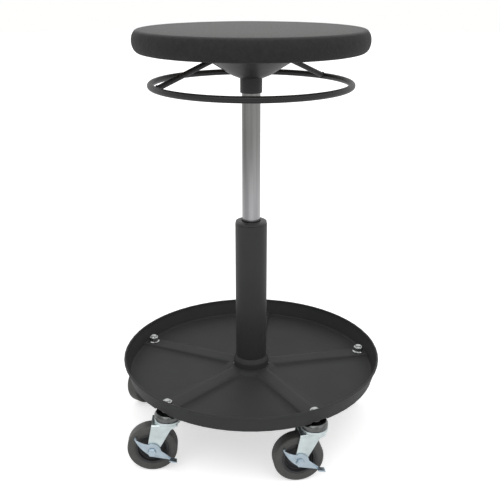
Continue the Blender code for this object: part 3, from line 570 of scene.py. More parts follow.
class TurnedForm(NodeForm):
    """Spins a profile round Z, with flats on the points whose flat attribute asks for them."""

    def __init__(self) -> None:
        """Build the tree: a grid whose rows are the profile's points and whose columns go round."""
        whole = "NodeSocketInt"
        super().__init__("turned_form", {"Points": whole, "Segments": whole, "Flats": whole})
        points, segments = self.given("Points"), self.given("Segments")
        columns = self.math("ADD", segments, 1.0)
        grid = self.node("GeometryNodeMeshGrid", {"Vertices X": columns, "Vertices Y": points})
        index = self.node("GeometryNodeInputIndex", {}).outputs[0]
        row = self.math("MODULO", index, points)
        column = self.math("DIVIDE", self.math("SUBTRACT", index, row), points)
        angle = self.math("DIVIDE", self.math("MULTIPLY", column, tau), segments)
        place = self.node("GeometryNodeInputPosition", {}).outputs[0]
        spot = self._sampled(place, row, "FLOAT_VECTOR")
        marked = self.node("GeometryNodeInputNamedAttribute", {"Name": "flat"}, data_type="FLOAT")
        share = self._sampled(marked.outputs["Attribute"], row, "FLOAT")
        parts = self.node("ShaderNodeSeparateXYZ", {0: spot})
        side = self.math("DIVIDE", tau, self.given("Flats"))
        from_middle = self.math("SUBTRACT", self.math("MODULO", angle, side), self.math("DIVIDE", side, 2.0))
        spread = self.math("SUBTRACT", self.math("DIVIDE", 1.0, self.math("COSINE", from_middle)), 1.0)
        radius = self.math("MULTIPLY", parts.outputs["X"], self.math("MULTIPLY_ADD", spread, share, 1.0))
        goal = self.node(
            "ShaderNodeCombineXYZ",
            {
                "X": self.math("MULTIPLY", radius, self.math("COSINE", angle)),
                "Y": self.math("MULTIPLY", radius, self.math("SINE", angle)),
                "Z": parts.outputs["Z"],
            },
        )
        moved = self.node(
            "GeometryNodeSetPosition", {"Geometry": grid.outputs["Mesh"], "Position": goal.outputs[0]}
        )
        weld = {"Geometry": moved.outputs[0], "Distance": WELD_DISTANCE}
        welded = self.node("GeometryNodeMergeByDistance", weld)
        self.close(welded.outputs[0])

    def _sampled(
        self, value: bpy.types.NodeSocket, row: bpy.types.NodeSocket, kind: str
    ) -> bpy.types.NodeSocket:
        """Read a value of the profile's points.

        Args:
            value: The field to read.
            row: Which point to read it at.
            kind: The value's data type.

        Returns:
            The value read.
        """
        inputs = {"Geometry": self.given("Geometry"), "Value": value, "Index": row}
        return self.node("GeometryNodeSampleIndex", inputs, data_type=kind, domain="POINT").outputs[0]

    def turn(
        self,
        name: str,
        profile: list[Point2],
        material: bpy.types.Material,
        segments: int = TURNED_SEGMENTS,
        flat: list[float] | None = None,
        flats: int = 6,
    ) -> bpy.types.Mesh:
        """Spin a profile into a closed mesh.

        Args:
            name: The new mesh's name.
            profile: (radius, height) points. It makes a solid where it starts on the axis, else a ring.
            material: The finish.
            segments: How many steps go round.
            flat: How far each point follows the flats, from 0 to 1.
            flats: How many flats there are.

        Returns:
            The turned mesh.
        """
        rows = list(zip(profile, flat or [0.0] * len(profile)))
        ahead = rows[1:] + rows[:1]
        area = sum(a[0] * b[1] - b[0] * a[1] for (a, _), (b, _) in zip(rows, ahead))
        if area < 0.0:
            rows.reverse()
        if rows[0][0][0] > WELD_DISTANCE:
            rows.append(rows[0])
        base = bpy.data.meshes.new("profile")
        base.from_pydata([(r, 0.0, z) for (r, z), _ in rows], [], [])
        base.attributes.new("flat", "FLOAT", "POINT").data.foreach_set("value", [share for _, share in rows])
        inputs = {"Points": len(rows), "Segments": segments, "Flats": flats, "Finish": material}
        return outward(self.made(name, base, inputs))


class RodForm(NodeForm):
    """Sweeps a round rod along a path of mesh edges and bends its corners to a radius."""

    def __init__(self) -> None:
        """Build the tree: path, bends, round section and end caps."""
        whole, length = "NodeSocketInt", "NodeSocketFloat"
        inputs = {"Rod Radius": length, "Sides": whole, "Bend Radius": length, "Bend Steps": whole}
        super().__init__("rod_form", inputs)
        path = self.node("GeometryNodeMeshToCurve", {"Mesh": self.given("Geometry")})
        count, radius = self.given("Bend Steps"), self.given("Bend Radius")
        bends = {"Curve": path.outputs[0], "Count": count, "Radius": radius}
        bent = self.node("GeometryNodeFilletCurve", bends, mode="POLY")
        section = self.node(
            "GeometryNodeCurvePrimitiveCircle",
            {"Resolution": self.given("Sides"), "Radius": self.given("Rod Radius")},
        )
        swept = {"Curve": bent.outputs[0], "Profile Curve": section.outputs[0], "Fill Caps": True}
        body = self.node("GeometryNodeCurveToMesh", swept)
        self.close(body.outputs[0])

    def sweep(
        self,
        name: str,
        path: list[Vector],
        closed: bool,
        radius: float,
        material: bpy.types.Material,
        sides: int = ROD_SIDES,
        bend: float = 0.0,
    ) -> bpy.types.Mesh:
        """Sweep a rod.

        Args:
            name: The new mesh's name.
            path: The path's points in order.
            closed: Whether the path comes back to its start.
            radius: The rod's radius.
            material: The finish.
            sides: How many sides the rod has.
            bend: The radius of the bends at the path's corners.

        Returns:
            The rod as a closed mesh.
        """
        base = bpy.data.meshes.new("path")
        edges = [(k, k + 1) for k in range(len(path) - 1)]
        if closed:
            edges.append((len(path) - 1, 0))
        base.from_pydata([tuple(point) for point in path], edges, [])
        inputs = {
            "Rod Radius": radius,
            "Sides": sides,
            "Bend Radius": bend,
            "Bend Steps": BEND_STEPS,
            "Finish": material,
        }
        return outward(self.made(name, base, inputs))


class CopiesForm(NodeForm):
    """Sets copies of a shape round a circle, each turned a step further than the last."""

    def __init__(self) -> None:
        """Build the tree: points on the circle, copies on the points."""
        whole, length = "NodeSocketInt", "NodeSocketFloat"
        inputs = {"Count": whole, "Circle Radius": length, "First Angle": length, "Turn Step": length}
        super().__init__("copies_form", inputs)
        index = self.node("GeometryNodeInputIndex", {}).outputs[0]
        step = self.math("DIVIDE", tau, self.given("Count"))
        angle = self.math("MULTIPLY_ADD", index, step, self.given("First Angle"))
        radius = self.given("Circle Radius")
        place = self.node(
            "ShaderNodeCombineXYZ",
            {
                "X": self.math("MULTIPLY", radius, self.math("COSINE", angle)),
                "Y": self.math("MULTIPLY", radius, self.math("SINE", angle)),
            },
        )
        points = self.node("GeometryNodePoints", {"Count": self.given("Count"), "Position": place.outputs[0]})
        turn = self.node("ShaderNodeCombineXYZ", {"Z": self.math("MULTIPLY", index, self.given("Turn Step"))})
        copies = self.node(
            "GeometryNodeInstanceOnPoints",
            {"Points": points.outputs[0], "Instance": self.given("Geometry"), "Rotation": turn.outputs[0]},
        )
        self.close(copies.outputs[0])

    def spread(
        self,
        name: str,
        shape: bpy.types.Mesh,
        count: int,
        radius: float,
        material: bpy.types.Material,
        first: float = 0.0,
        turn_step: float = 0.0,
    ) -> bpy.types.Mesh:
        """Spread copies of a shape.

        Args:
            name: The new mesh's name.
            shape: The mesh to copy.
            count: How many copies there are.
            radius: The circle's radius.
            material: The finish.
            first: The first copy's angle.
            turn_step: How much further each copy is turned than the last.

        Returns:
            All the copies as one mesh.
        """
        inputs = {
            "Count": count,
            "Circle Radius": radius,
            "First Angle": first,
            "Turn Step": turn_step,
            "Finish": material,
        }
        return self.made(name, shape, inputs)


@dataclass
class Forms:
    """The three node forms, each built once."""

    turned: TurnedForm = field(default_factory=TurnedForm)
    rod: RodForm = field(default_factory=RodForm)
    copies: CopiesForm = field(default_factory=CopiesForm)


# Finishes


@dataclass
class ShaderGroups:
    """The shader node groups that the finishes share, each built on first use."""

    noise_middle: float = 0.5
    swell_scale: float = 0.31
    swell_detail: float = 3.0
    swell_share: float = 0.6
    drift_scale: float = 1.0
    drift_detail: float = 5.0
    drift_gain: float = 4.0
    speck_scale: float = 420.0
    speck_detail: float = 4.0
    film_scale: float = 0.8
    film_detail: float = 6.0
    made: dict[str, bpy.types.NodeTree] = field(default_factory=dict)

    def grain(self) -> bpy.types.NodeTree:
        """Return the group for a fine pebbled or orange-peel surface."""
        if "grain" not in self.made:
            inputs = {"Place": "Vector", "Cell": "Float", "Softness": "Float"}
            tree, entry, leave = self._begin("surface_grain", inputs, {"Height": "Float"})
            scaled = self._scaled(tree, entry.outputs["Place"], entry.outputs["Cell"])
            cells = tree.nodes.new("ShaderNodeTexVoronoi")
            cells.feature = "SMOOTH_F1"
            cells.inputs["Scale"].default_value = 1.0
            tree.links.new(scaled, cells.inputs["Vector"])
            tree.links.new(entry.outputs["Softness"], cells.inputs["Smoothness"])
            swell = self._noise(tree, scaled, self.swell_scale, self.swell_detail)
            both = math_node(tree, "MULTIPLY_ADD", swell, self.swell_share, cells.outputs["Distance"])
            tree.links.new(both, leave.inputs["Height"])
            self.made["grain"] = tree
        return self.made["grain"]

    def drift(self) -> bpy.types.NodeTree:
        """Return the group for a colour that drifts over the surface."""
        if "drift" not in self.made:
            inputs = {"Place": "Vector", "Colour": "Color", "Drift": "Float", "Patch": "Float"}
            tree, entry, leave = self._begin("tone_drift", inputs, {"Colour": "Color"})
            scaled = self._scaled(tree, entry.outputs["Place"], entry.outputs["Patch"])
            cloud = self._noise(tree, scaled, self.drift_scale, self.drift_detail)
            centred = math_node(tree, "SUBTRACT", cloud, self.noise_middle)
            swing = math_node(tree, "MULTIPLY", centred, entry.outputs["Drift"])
            lift = math_node(tree, "MULTIPLY_ADD", swing, self.drift_gain, 1.0)
            toned = tree.nodes.new("ShaderNodeHueSaturation")
            tree.links.new(lift, toned.inputs["Value"])
            tree.links.new(entry.outputs["Colour"], toned.inputs["Color"])
            tree.links.new(toned.outputs[0], leave.inputs["Colour"])
            self.made["drift"] = tree
        return self.made["drift"]

    def rub(self) -> bpy.types.NodeTree:
        """Return the group for edges that handling has rubbed lighter."""
        if "rub" not in self.made:
            inputs = {
                "Place": "Vector",
                "Colour": "Color",
                "Rubbed Colour": "Color",
                "Edge": "Float",
                "Amount": "Float",
            }
            tree, entry, leave = self._begin("edge_rub", inputs, {"Colour": "Color"})
            specks = self._noise(tree, entry.outputs["Place"], self.speck_scale, self.speck_detail)
            worn = math_node(tree, "MULTIPLY", entry.outputs["Edge"], specks)
            mask = math_node(tree, "MULTIPLY", worn, entry.outputs["Amount"])
            mixed = colour_mix(tree, mask, entry.outputs["Colour"], entry.outputs["Rubbed Colour"])
            tree.links.new(mixed, leave.inputs["Colour"])
            self.made["rub"] = tree
        return self.made["rub"]

    def film(self) -> bpy.types.NodeTree:
        """Return the group for a gloss that varies with handling."""
        if "film" not in self.made:
            inputs = {"Place": "Vector", "Roughness": "Float", "Spread": "Float", "Patch": "Float"}
            tree, entry, leave = self._begin("handling_film", inputs, {"Roughness": "Float"})
            given = entry.outputs
            scaled = self._scaled(tree, given["Place"], given["Patch"])
            cloud = self._noise(tree, scaled, self.film_scale, self.film_detail)
            centred = math_node(tree, "SUBTRACT", cloud, self.noise_middle)
            rough = math_node(tree, "MULTIPLY_ADD", centred, given["Spread"], given["Roughness"])
            tree.links.new(rough, leave.inputs["Roughness"])
            self.made["film"] = tree
        return self.made["film"]

    @staticmethod
    def _begin(
        name: str, inputs: dict[str, str], outputs: dict[str, str]
    ) -> tuple[bpy.types.NodeTree, bpy.types.Node, bpy.types.Node]:
        """Start a shader group.

        Args:
            name: The group's name.
            inputs: Each input's name and kind.
            outputs: Each output's name and kind.

        Returns:
            The tree, its input node and its output node.
        """
        tree = bpy.data.node_groups.new(name, "ShaderNodeTree")
        for label, kind in inputs.items():
            tree.interface.new_socket(label, in_out="INPUT", socket_type=f"NodeSocket{kind}")
        for label, kind in outputs.items():
            tree.interface.new_socket(label, in_out="OUTPUT", socket_type=f"NodeSocket{kind}")
        return tree, tree.nodes.new("NodeGroupInput"), tree.nodes.new("NodeGroupOutput")

    @staticmethod
    def _scaled(
        tree: bpy.types.NodeTree, place: bpy.types.NodeSocket, size: bpy.types.NodeSocket
    ) -> bpy.types.NodeSocket:
        """Scale a place so that a pattern of size 1 comes out at the asked size.

        Args:
            tree: The group.
            place: The place's socket.
            size: The size's socket, in metres.

        Returns:
            The scaled place.
        """
        node = tree.nodes.new("ShaderNodeVectorMath")
        node.operation = "SCALE"
        tree.links.new(place, node.inputs[0])
        tree.links.new(math_node(tree, "DIVIDE", 1.0, size), node.inputs["Scale"])
        return node.outputs[0]

    @staticmethod
    def _noise(
        tree: bpy.types.NodeTree, place: bpy.types.NodeSocket, scale: float, detail: float
    ) -> bpy.types.NodeSocket:
        """Add a noise texture.

        Args:
            tree: The group.
            place: The place's socket.
            scale: The noise's scale.
            detail: Its detail.

        Returns:
            The noise value's socket.
        """
        node = tree.nodes.new("ShaderNodeTexNoise")
        node.inputs["Scale"].default_value = scale
        node.inputs["Detail"].default_value = detail
        tree.links.new(place, node.inputs["Vector"])
        return node.outputs[0]


@dataclass(frozen=True)
class Coat:
    """One finish: its colour and gloss, the scale of its grain, drift and rubbed edges, and on some, light
    and shade painted by height.
    """

    finish: Finish
    name: str
    colour: Colour
    roughness: float
    metallic: float = 0.0
    specular: float = 0.5
    drift: float = 0.06
    patch: float = 0.035
    gloss_spread: float = 0.12
    gloss_patch: float = 0.6
    grain_cell: float = 0.0009
    grain_depth: float = 0.00004
    grain_softness: float = 0.6
    stretch: Point3 = (1.0, 1.0, 1.0)
    shift: Point3 = (0.0, 0.0, 0.0)
    rubbed: Colour = (0.10, 0.10, 0.105)
    rub: float = 0.35
    # A second colour below fade_span, which paints light and shade by height: shade on the seat's sides and
    # caster cups, a reflection of the floor low on the gas tube.
    lower: Colour | None = None
    lower_roughness: float | None = None
    fade_span: Point2 = (0.0, 1.0)

    def material(self, groups: ShaderGroups) -> bpy.types.Material:
        """Build the finish as a node material.

        Args:
            groups: The shared shader groups.

        Returns:
            The material.
        """
        material = bpy.data.materials.new(self.name)
        material.use_nodes = True
        tree = material.node_tree
        place = self._place(tree)
        colour, roughness = (*self.colour, 1.0), self.roughness
        # Light or shade painted by height, where the finish has a lower colour.
        if self.lower is not None:
            colour = self._painted_light_by_height(tree, self.lower)
        if self.lower_roughness is not None:
            roughness = self._faded(tree, self.lower_roughness, self.roughness)
        drift_inputs = {"Place": place, "Colour": colour, "Drift": self.drift, "Patch": self.patch}
        edge = tree.nodes.new("ShaderNodeAttribute")
        edge.attribute_name = "rub"
        rub_inputs = {
            "Place": place,
            "Colour": self._grouped(tree, groups.drift(), drift_inputs),
            "Rubbed Colour": (*self.rubbed, 1.0),
            "Edge": edge.outputs["Fac"],
            "Amount": self.rub,
        }
        film_inputs = {
            "Place": place,
            "Roughness": roughness,
            "Spread": self.gloss_spread,
            "Patch": self.patch * self.gloss_patch,
        }
        grain_inputs = {"Place": place, "Cell": self.grain_cell, "Softness": self.grain_softness}
        bump = tree.nodes.new("ShaderNodeBump")
        bump.inputs["Strength"].default_value = 1.0
        bump.inputs["Distance"].default_value = self.grain_depth
        tree.links.new(self._grouped(tree, groups.grain(), grain_inputs), bump.inputs["Height"])
        settings = {
            "Metallic": self.metallic,
            "Specular IOR Level": self.specular,
            "Base Color": self._grouped(tree, groups.rub(), rub_inputs),
            "Roughness": self._grouped(tree, groups.film(), film_inputs),
            "Normal": bump.outputs[0],
        }
        for key, value in settings.items():
            feed(tree, tree.nodes["Principled BSDF"].inputs[key], value)
        return material

    def _place(self, tree: bpy.types.NodeTree) -> bpy.types.NodeSocket:
        """Return the pattern's place: the piece's own coordinates, stretched along the draw of the metal."""
        coordinates = tree.nodes.new("ShaderNodeTexCoord")
        mapping = tree.nodes.new("ShaderNodeMapping")
        mapping.inputs["Location"].default_value = self.shift
        mapping.inputs["Scale"].default_value = self.stretch
        tree.links.new(coordinates.outputs["Object"], mapping.inputs["Vector"])
        return mapping.outputs[0]

    def _faded(self, tree: bpy.types.NodeTree, low: float, high: float) -> bpy.types.NodeSocket:
        """Let a value change with height over the finish's span.

        Args:
            tree: The material's tree.
            low: The value below the span.
            high: The value above it.

        Returns:
            The changing value's socket.
        """
        return ramp(tree, coordinate(tree, "Object", "Z"), self.fade_span, low, high)

    def _painted_light_by_height(self, tree: bpy.types.NodeTree, lower: Colour) -> bpy.types.NodeSocket:
        """Paint light by height: painted shade on the seat's sides and the caster cups, a painted reflection
        of the floor low on the gas tube.

        Args:
            tree: The material's tree.
            lower: The painted colour below the change.

        Returns:
            The changing colour's socket.
        """
        share = self._faded(tree, 0.0, 1.0)
        return colour_mix(tree, share, (*lower, 1.0), (*self.colour, 1.0))

    @staticmethod
    def _grouped(
        tree: bpy.types.NodeTree, group: bpy.types.NodeTree, inputs: dict[str, object]
    ) -> bpy.types.NodeSocket:
        """Place a shader group in a material.

        Args:
            tree: The material's tree.
            group: The group.
            inputs: What each input takes: a socket to link or a value to set.

        Returns:
            The socket of the group's result.
        """
        node = tree.nodes.new("ShaderNodeGroup")
        node.node_tree = group
        for key, value in inputs.items():
            feed(tree, node.inputs[key], value)
        return node.outputs[0]


COATS = (
    Coat(
        Finish.SEAT_SKIN,
        "seat_skin",
        (0.034, 0.034, 0.0335),
        0.48,
        specular=0.33,
        # The seat's top is painted lighter than its sides: a painted sheen on the top, painted shade on the
        # sides.
        lower=(0.0175, 0.0175, 0.0180),
        lower_roughness=0.74,
        fade_span=(0.6385, 0.6434),
        drift=0.24,
        patch=0.006,
        gloss_spread=0.16,
        grain_cell=0.0024,
        grain_depth=0.00034,
        rubbed=(0.06, 0.06, 0.062),
        rub=0.2,
    ),
    Coat(
        Finish.SATIN_PAINT,
        "satin_paint",
        (0.0165, 0.0165, 0.0175),
        0.44,
        specular=0.38,
        grain_cell=0.0016,
        grain_depth=0.00003,
    ),
    Coat(
        Finish.COLUMN_PAINT,
        "column_paint",
        (0.038, 0.038, 0.0395),
        0.44,
        specular=0.26,
        drift=0.07,
        patch=0.06,
        grain_cell=0.0014,
        grain_depth=0.00004,
    ),
    Coat(
        Finish.TRAY_COAT,
        "tray_coat",
        (0.036, 0.036, 0.0375),
        0.55,
        specular=0.19,
        drift=0.08,
        patch=0.09,
        grain_cell=0.0011,
        grain_depth=0.00006,
    ),
    Coat(Finish.NYLON, "bush_nylon", (0.024, 0.024, 0.025), 0.42, specular=0.5, grain_cell=0.0007),
    Coat(
        Finish.DRAWN_TUBE,
        "drawn_tube",
        (0.203, 0.203, 0.199),
        0.20,
        metallic=1.0,
        # Lighter low on the tube: a painted reflection of the floor.
        lower=(0.366, 0.364, 0.377),
        fade_span=(0.36, 0.50),
        drift=0.34,
        patch=0.008,
        gloss_spread=0.10,
        grain_cell=0.0009,
        grain_depth=0.000012,
        stretch=(-1.0, 1.0, 0.03),
        # The shift places the drift's streaks darker on the tube's left side and lighter on its right:
        # painted shade and painted light.
        shift=(0.45, 0.279, 0.0),
        rubbed=(0.4, 0.4, 0.4),
        rub=0.2,
    ),
    Coat(
        Finish.ZINC_PLATE,
        "zinc_plate",
        (0.660, 0.735, 0.745),
        0.34,
        metallic=1.0,
        drift=0.13,
        patch=0.011,
        gloss_spread=0.18,
        grain_cell=0.0011,
        grain_depth=0.000012,
        rubbed=(0.66, 0.69, 0.69),
        rub=0.5,
    ),
    # A darker copy of the zinc plate: painted shade on the nuts down in the tray.
    Coat(
        Finish.SHADED_NUT_PLATE,
        "shaded_nut_plate",
        (0.50, 0.51, 0.515),
        0.20,
        metallic=1.0,
        drift=0.12,
        patch=0.005,
        gloss_spread=0.10,
        grain_cell=0.0009,
        grain_depth=0.00001,
        rubbed=(0.70, 0.71, 0.71),
        rub=0.7,
    ),
    Coat(
        Finish.PAINTED_SHADE_PLATE,
        "painted_shade_plate",
        (0.50, 0.51, 0.515),
        0.24,
        metallic=1.0,
        # Darker below the tray's floor: painted shade on the caster cups. The stem tips above it are as dark
        # as the nuts.
        lower=(0.150, 0.155, 0.156),
        fade_span=(0.1045, 0.1060),
        drift=0.20,
        patch=0.006,
        gloss_spread=0.16,
        grain_cell=0.0009,
        grain_depth=0.00001,
        rubbed=(0.50, 0.52, 0.52),
        rub=0.9,
    ),
    Coat(
        Finish.BLUE_PLATE,
        "blue_plate",
        (0.475, 0.572, 0.650),
        0.33,
        metallic=1.0,
        drift=0.16,
        patch=0.010,
        gloss_spread=0.18,
        grain_cell=0.0011,
        grain_depth=0.000012,
        rubbed=(0.62, 0.67, 0.69),
        rub=0.5,
    ),
    Coat(
        Finish.GROUND_STEEL,
        "ground_steel",
        (0.50, 0.50, 0.50),
        0.26,
        metallic=1.0,
        grain_cell=0.0007,
        grain_depth=0.00001,
        stretch=(1.0, 1.0, 0.05),
        rubbed=(0.7, 0.7, 0.7),
    ),
    Coat(
        Finish.TYRE_RUBBER,
        "tyre_rubber",
        (0.066, 0.065, 0.063),
        0.50,
        specular=0.50,
        drift=0.14,
        patch=0.012,
        gloss_spread=0.15,
        grain_cell=0.0008,
        grain_depth=0.00005,
        rubbed=(0.12, 0.115, 0.11),
        rub=0.5,
    ),
    Coat(
        Finish.WHEEL_NYLON,
        "wheel_nylon",
        (0.035, 0.035, 0.038),
        0.46,
        specular=0.4,
        drift=0.10,
        patch=0.01,
    ),
    Coat(
        Finish.PLYWOOD,
        "plywood",
        (0.36, 0.235, 0.12),
        0.72,
        drift=0.30,
        patch=0.012,
        grain_cell=0.0012,
        grain_depth=0.00012,
        stretch=(0.08, 1.0, 1.0),
        rubbed=(0.42, 0.30, 0.17),
        rub=0.3,
    ),
)


# The stool


class Dresser:
    """Puts finished pieces into the scene and ties them to the frame."""

    def __init__(self, frame: dict[str, object]) -> None:
        """Build the finishes and forms.
        """
        self.frame = frame
        self.forms = Forms()
        groups = ShaderGroups()
        self.materials = {coat.finish: coat.material(groups) for coat in COATS}

    def turned(
        self,
        name: str,
        profile: list[Point2],
        finish: Finish,
        segments: int = TURNED_SEGMENTS,
        flat: list[float] | None = None,
    ) -> bpy.types.Mesh:
        """Turn a profile in a finish.

        Args:
            name: The new mesh's name.
            profile: (radius, height) points.
            finish: The finish.
            segments: How many steps go round.
            flat: How far each point follows a hexagon's flats, from 0 to 1.

        Returns:
            The turned mesh.
        """
        return self.forms.turned.turn(name, profile, self.materials[finish], segments, flat)

    def show(
        self,
        name: str,
        mesh: bpy.types.Mesh,
        body: str,
        nodes: list[str],
        finish: Finish,
        sharp: float = SHARP_ANGLE,
    ) -> bpy.types.Object:
        """Add a piece that stands for CAD nodes.

        Args:
            name: The piece's name.
            mesh: Its mesh, in the part's frame.
            body: The body it rides on.
            nodes: The nodes it stands for.
            finish: Its finish.
            sharp: The angle past which its edges stay sharp.

        Returns:
            The new object.
        """
        finished(mesh, sharp)
        mesh.name = name
        mesh.materials.clear()
        mesh.materials.append(self.materials[finish])
        piece = linked(name, mesh)
        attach(piece, body)
        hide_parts(*nodes)
        finish.slot
        LOG.info("%s: %d faces, rides on %s", name, len(mesh.polygons), body)
        return piece

    def dress_node(self, node: str, finish: Finish) -> None:
        """Give a CAD node that stays in view its finish.

        Args:
            node: The node's name.
            finish: Its finish.
        """
        obj = self.frame["nodes"][node]
        for slot in obj.material_slots:
            slot.material = self.materials[finish]
        LOG.info("%s: kept, dressed as %s", node, finish.name.lower())

    def joint(self, name: str) -> dict[str, object]:
        """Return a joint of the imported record."""
        return next(item for item in self.frame["record"]["behaviour"]["joints"] if item["name"] == name)


@dataclass
class Seat:
    """The moulded seat, its board and the pressed cone under it."""

    radius: float = 0.1718
    thickness: float = 0.0327
    waist: float = 0.0165
    top_edge: float = 0.0095
    bottom_edge: float = 0.0098
    crown: float = 0.0010
    flat_radius: float = 0.040
    board_radius: float = 0.1183
    board_depth: float = 0.0063
    base_z: float = 0.6110
    skin_swell: float = 0.00025
    swell_scale: float = 34.0
    skin_sharp: float = radians(50)
    crown_steps: int = 18
    edge_steps: int = 14
    seat_segments: int = 160
    cone_neck: float = 0.0167
    cone_sheet: float = 0.0025
    cone_low: float = 0.5733
    cone_knee: Point2 = (0.0290, 0.5773)
    cone_top: Point2 = (0.0795, 0.6082)
    flange_radius: float = 0.098
    flange_top: float = 0.6107
    slot_half: float = 0.0052
    slot_low: float = 0.5844
    slot_high: float = 0.6072
    arm_angles: Point2 = (radians(204.2), radians(38.6))
    screw_circle: float = 0.089
    screw_hole: float = 0.0033
    drill_top: float = 0.65
    drill_segments: int = 24
    bell_steps: int = 8
    bell_segments: int = 128
    collar_bore: float = 0.0143
    collar_top_bore: float = 0.0138
    collar_radius: float = 0.0164
    collar_span: Point2 = (0.5514, 0.5949)
    screw_count: int = 4

    def build(self, dresser: Dresser) -> None:
        """Make the seat's pieces and dress the nodes that stay.

        Args:
            dresser: What puts them in the scene.
        """
        cushion = dresser.show(
            "seat_moulding",
            self.cushion(dresser),
            "seat",
            ["seat_cushion"],
            Finish.SEAT_SKIN,
            self.skin_sharp,
        )
        dresser.show("mount_bell", self.cone(dresser), "seat", ["mount_cone"], Finish.SATIN_PAINT)
        dresser.show("taper_collar", self.collar(dresser), "seat", ["taper_socket"], Finish.SATIN_PAINT)
        dresser.dress_node("seat_board", Finish.PLYWOOD)
        for index in range(self.screw_count):
            dresser.dress_node(f"seat_screw_{index + 1}", Finish.ZINC_PLATE)

    def cushion(self, dresser: Dresser) -> bpy.types.Mesh:
        """Turn the seat's crowned form and swell its skin a little, as foam leaves the mould.

        Args:
            dresser: What holds the forms and finishes.

        Returns:
            The seat's mesh.
        """
        top, waist = self.base_z + self.thickness, self.base_z + self.waist
        flat = self.radius - self.top_edge
        profile: list[Point2] = [(0.0, top)]
        for k in range(1, self.crown_steps):
            radius = flat * k / self.crown_steps
            share = max(radius - self.flat_radius, 0.0) / (flat - self.flat_radius)
            profile.append((radius, top - self.crown * share**2))
        for k in range(self.edge_steps + 1):
            a = pi / 2 * (1 - k / self.edge_steps)
            profile.append((flat + self.top_edge * cos(a), waist + (top - self.crown - waist) * sin(a)))
        for k in range(1, self.edge_steps + 1):
            a = pi / 2 * k / self.edge_steps
            profile.append((self.radius - self.bottom_edge * (1 - cos(a)), waist - self.waist * sin(a)))
        roof = self.base_z + self.board_depth
        profile += [(self.board_radius, self.base_z), (self.board_radius, roof), (0.0, roof)]
        mesh = dresser.turned("seat_moulding", profile, Finish.SEAT_SKIN, self.seat_segments)
        for vert in mesh.vertices:
            if vert.co.xy.length > self.board_radius + self.cone_sheet or vert.co.z > waist:
                share = 0.5 + 0.5 * noise.noise(vert.co * self.swell_scale)
                vert.co -= vert.normal * self.skin_swell * share
        return mesh

    def cone(self, dresser: Dresser) -> bpy.types.Mesh:
        """Turn the pressed bell and cut its arm slots and screw holes.

        Args:
            dresser: What holds the forms and finishes.

        Returns:
            The bell's mesh.
        """
        (knee_r, knee_z), (top_r, top_z) = self.cone_knee, self.cone_top
        slope = atan2(top_z - knee_z, top_r - knee_r)
        rise = self.cone_sheet / cos(slope)
        back = (rise - self.cone_sheet) * cos(slope) / sin(slope)
        corners = [
            (self.cone_neck, self.cone_low, 0.0),
            (self.cone_neck + self.cone_sheet, self.cone_low, 0.0010),
            (knee_r, knee_z, 0.010),
            (top_r, top_z, 0.007),
            (self.flange_radius, top_z, 0.0008),
            (self.flange_radius, self.flange_top, 0.0005),
            (top_r - back, self.flange_top, 0.009),
            (knee_r, knee_z + rise, 0.008),
            (self.cone_neck, knee_z + rise, 0.0),
        ]
        section = rounded(corners, True, self.bell_steps)
        bell = dresser.turned("mount_bell", section, Finish.SATIN_PAINT, self.bell_segments)
        outline = [
            (knee_r, self.slot_low),
            (top_r, self.slot_low),
            (top_r, self.slot_high),
            (knee_r, self.slot_high),
        ]
        cutters = []
        for angle in self.arm_angles:
            slot = prism(outline, -self.slot_half, self.slot_half)
            slot.transform(Matrix.Rotation(angle, 4, "Z"))
            cutters.append(slot)
        first = sum(self.arm_angles) / 2
        drill = [
            (0.0, self.cone_low),
            (self.screw_hole, self.cone_low),
            (self.screw_hole, self.drill_top),
            (0.0, self.drill_top),
        ]
        for index in range(self.screw_count):
            angle = first + index * tau / self.screw_count
            place = (self.screw_circle * cos(angle), self.screw_circle * sin(angle), 0.0)
            hole = dresser.turned("hole", drill, Finish.SATIN_PAINT, self.drill_segments)
            hole.transform(Matrix.Translation(place))
            cutters.append(hole)
        return less(bell, cutters)

    def collar(self, dresser: Dresser) -> bpy.types.Mesh:
        """Turn the collar that takes the gas cylinder's taper.

        Args:
            dresser: What holds the forms and finishes.

        Returns:
            The collar's mesh.
        """
        low, high = self.collar_span
        corners = [
            (self.collar_bore, low, 0.0004),
            (self.collar_radius, low, 0.0009),
            (self.collar_radius, high, 0.0006),
            (self.collar_top_bore, high, 0.0002),
        ]
        return dresser.turned("taper_collar", rounded(corners, True), Finish.SATIN_PAINT)


@dataclass
class GasLift:
    """The gas cylinder, and what stays in view of the rod it rides on."""

    radius: float = 0.014
    bore: float = 0.0123
    bottom: float = 0.2778
    taper_start: float = 0.5514
    top: float = 0.5929
    taper: float = 0.0005
    block: float = 0.030
    pocket: float = 0.00435
    pocket_depth: float = 0.009
    round_steps: int = 4

    def build(self, dresser: Dresser) -> None:
        """Make the cylinder and dress the nodes inside it.

        Args:
            dresser: What puts them in the scene.
        """
        corners = [
            (0.0, self.top - self.block, 0.0),
            (self.bore, self.top - self.block, 0.0),
            (self.bore, self.bottom, 0.0004),
            (self.radius, self.bottom, 0.0007),
            (self.radius, self.taper_start, 0.0),
            (self.radius - self.taper, self.top, 0.0006),
            (self.pocket, self.top, 0.0003),
            (self.pocket, self.top - self.pocket_depth, 0.0),
            (0.0, self.top - self.pocket_depth, 0.0),
        ]
        section = rounded(corners, False, self.round_steps)
        mesh = dresser.turned("lift_cylinder", section, Finish.DRAWN_TUBE)
        dresser.show("lift_cylinder", mesh, "seat", ["gas_cylinder"], Finish.DRAWN_TUBE)
        for node in ("piston_rod", "rod_clip", "thrust_bearing", "valve_button"):
            dresser.dress_node(node, Finish.GROUND_STEEL)
        for node in ("piston", "cylinder_end_guide"):
            dresser.dress_node(node, Finish.NYLON)
        dresser.dress_node("rod_bumper", Finish.TYRE_RUBBER)


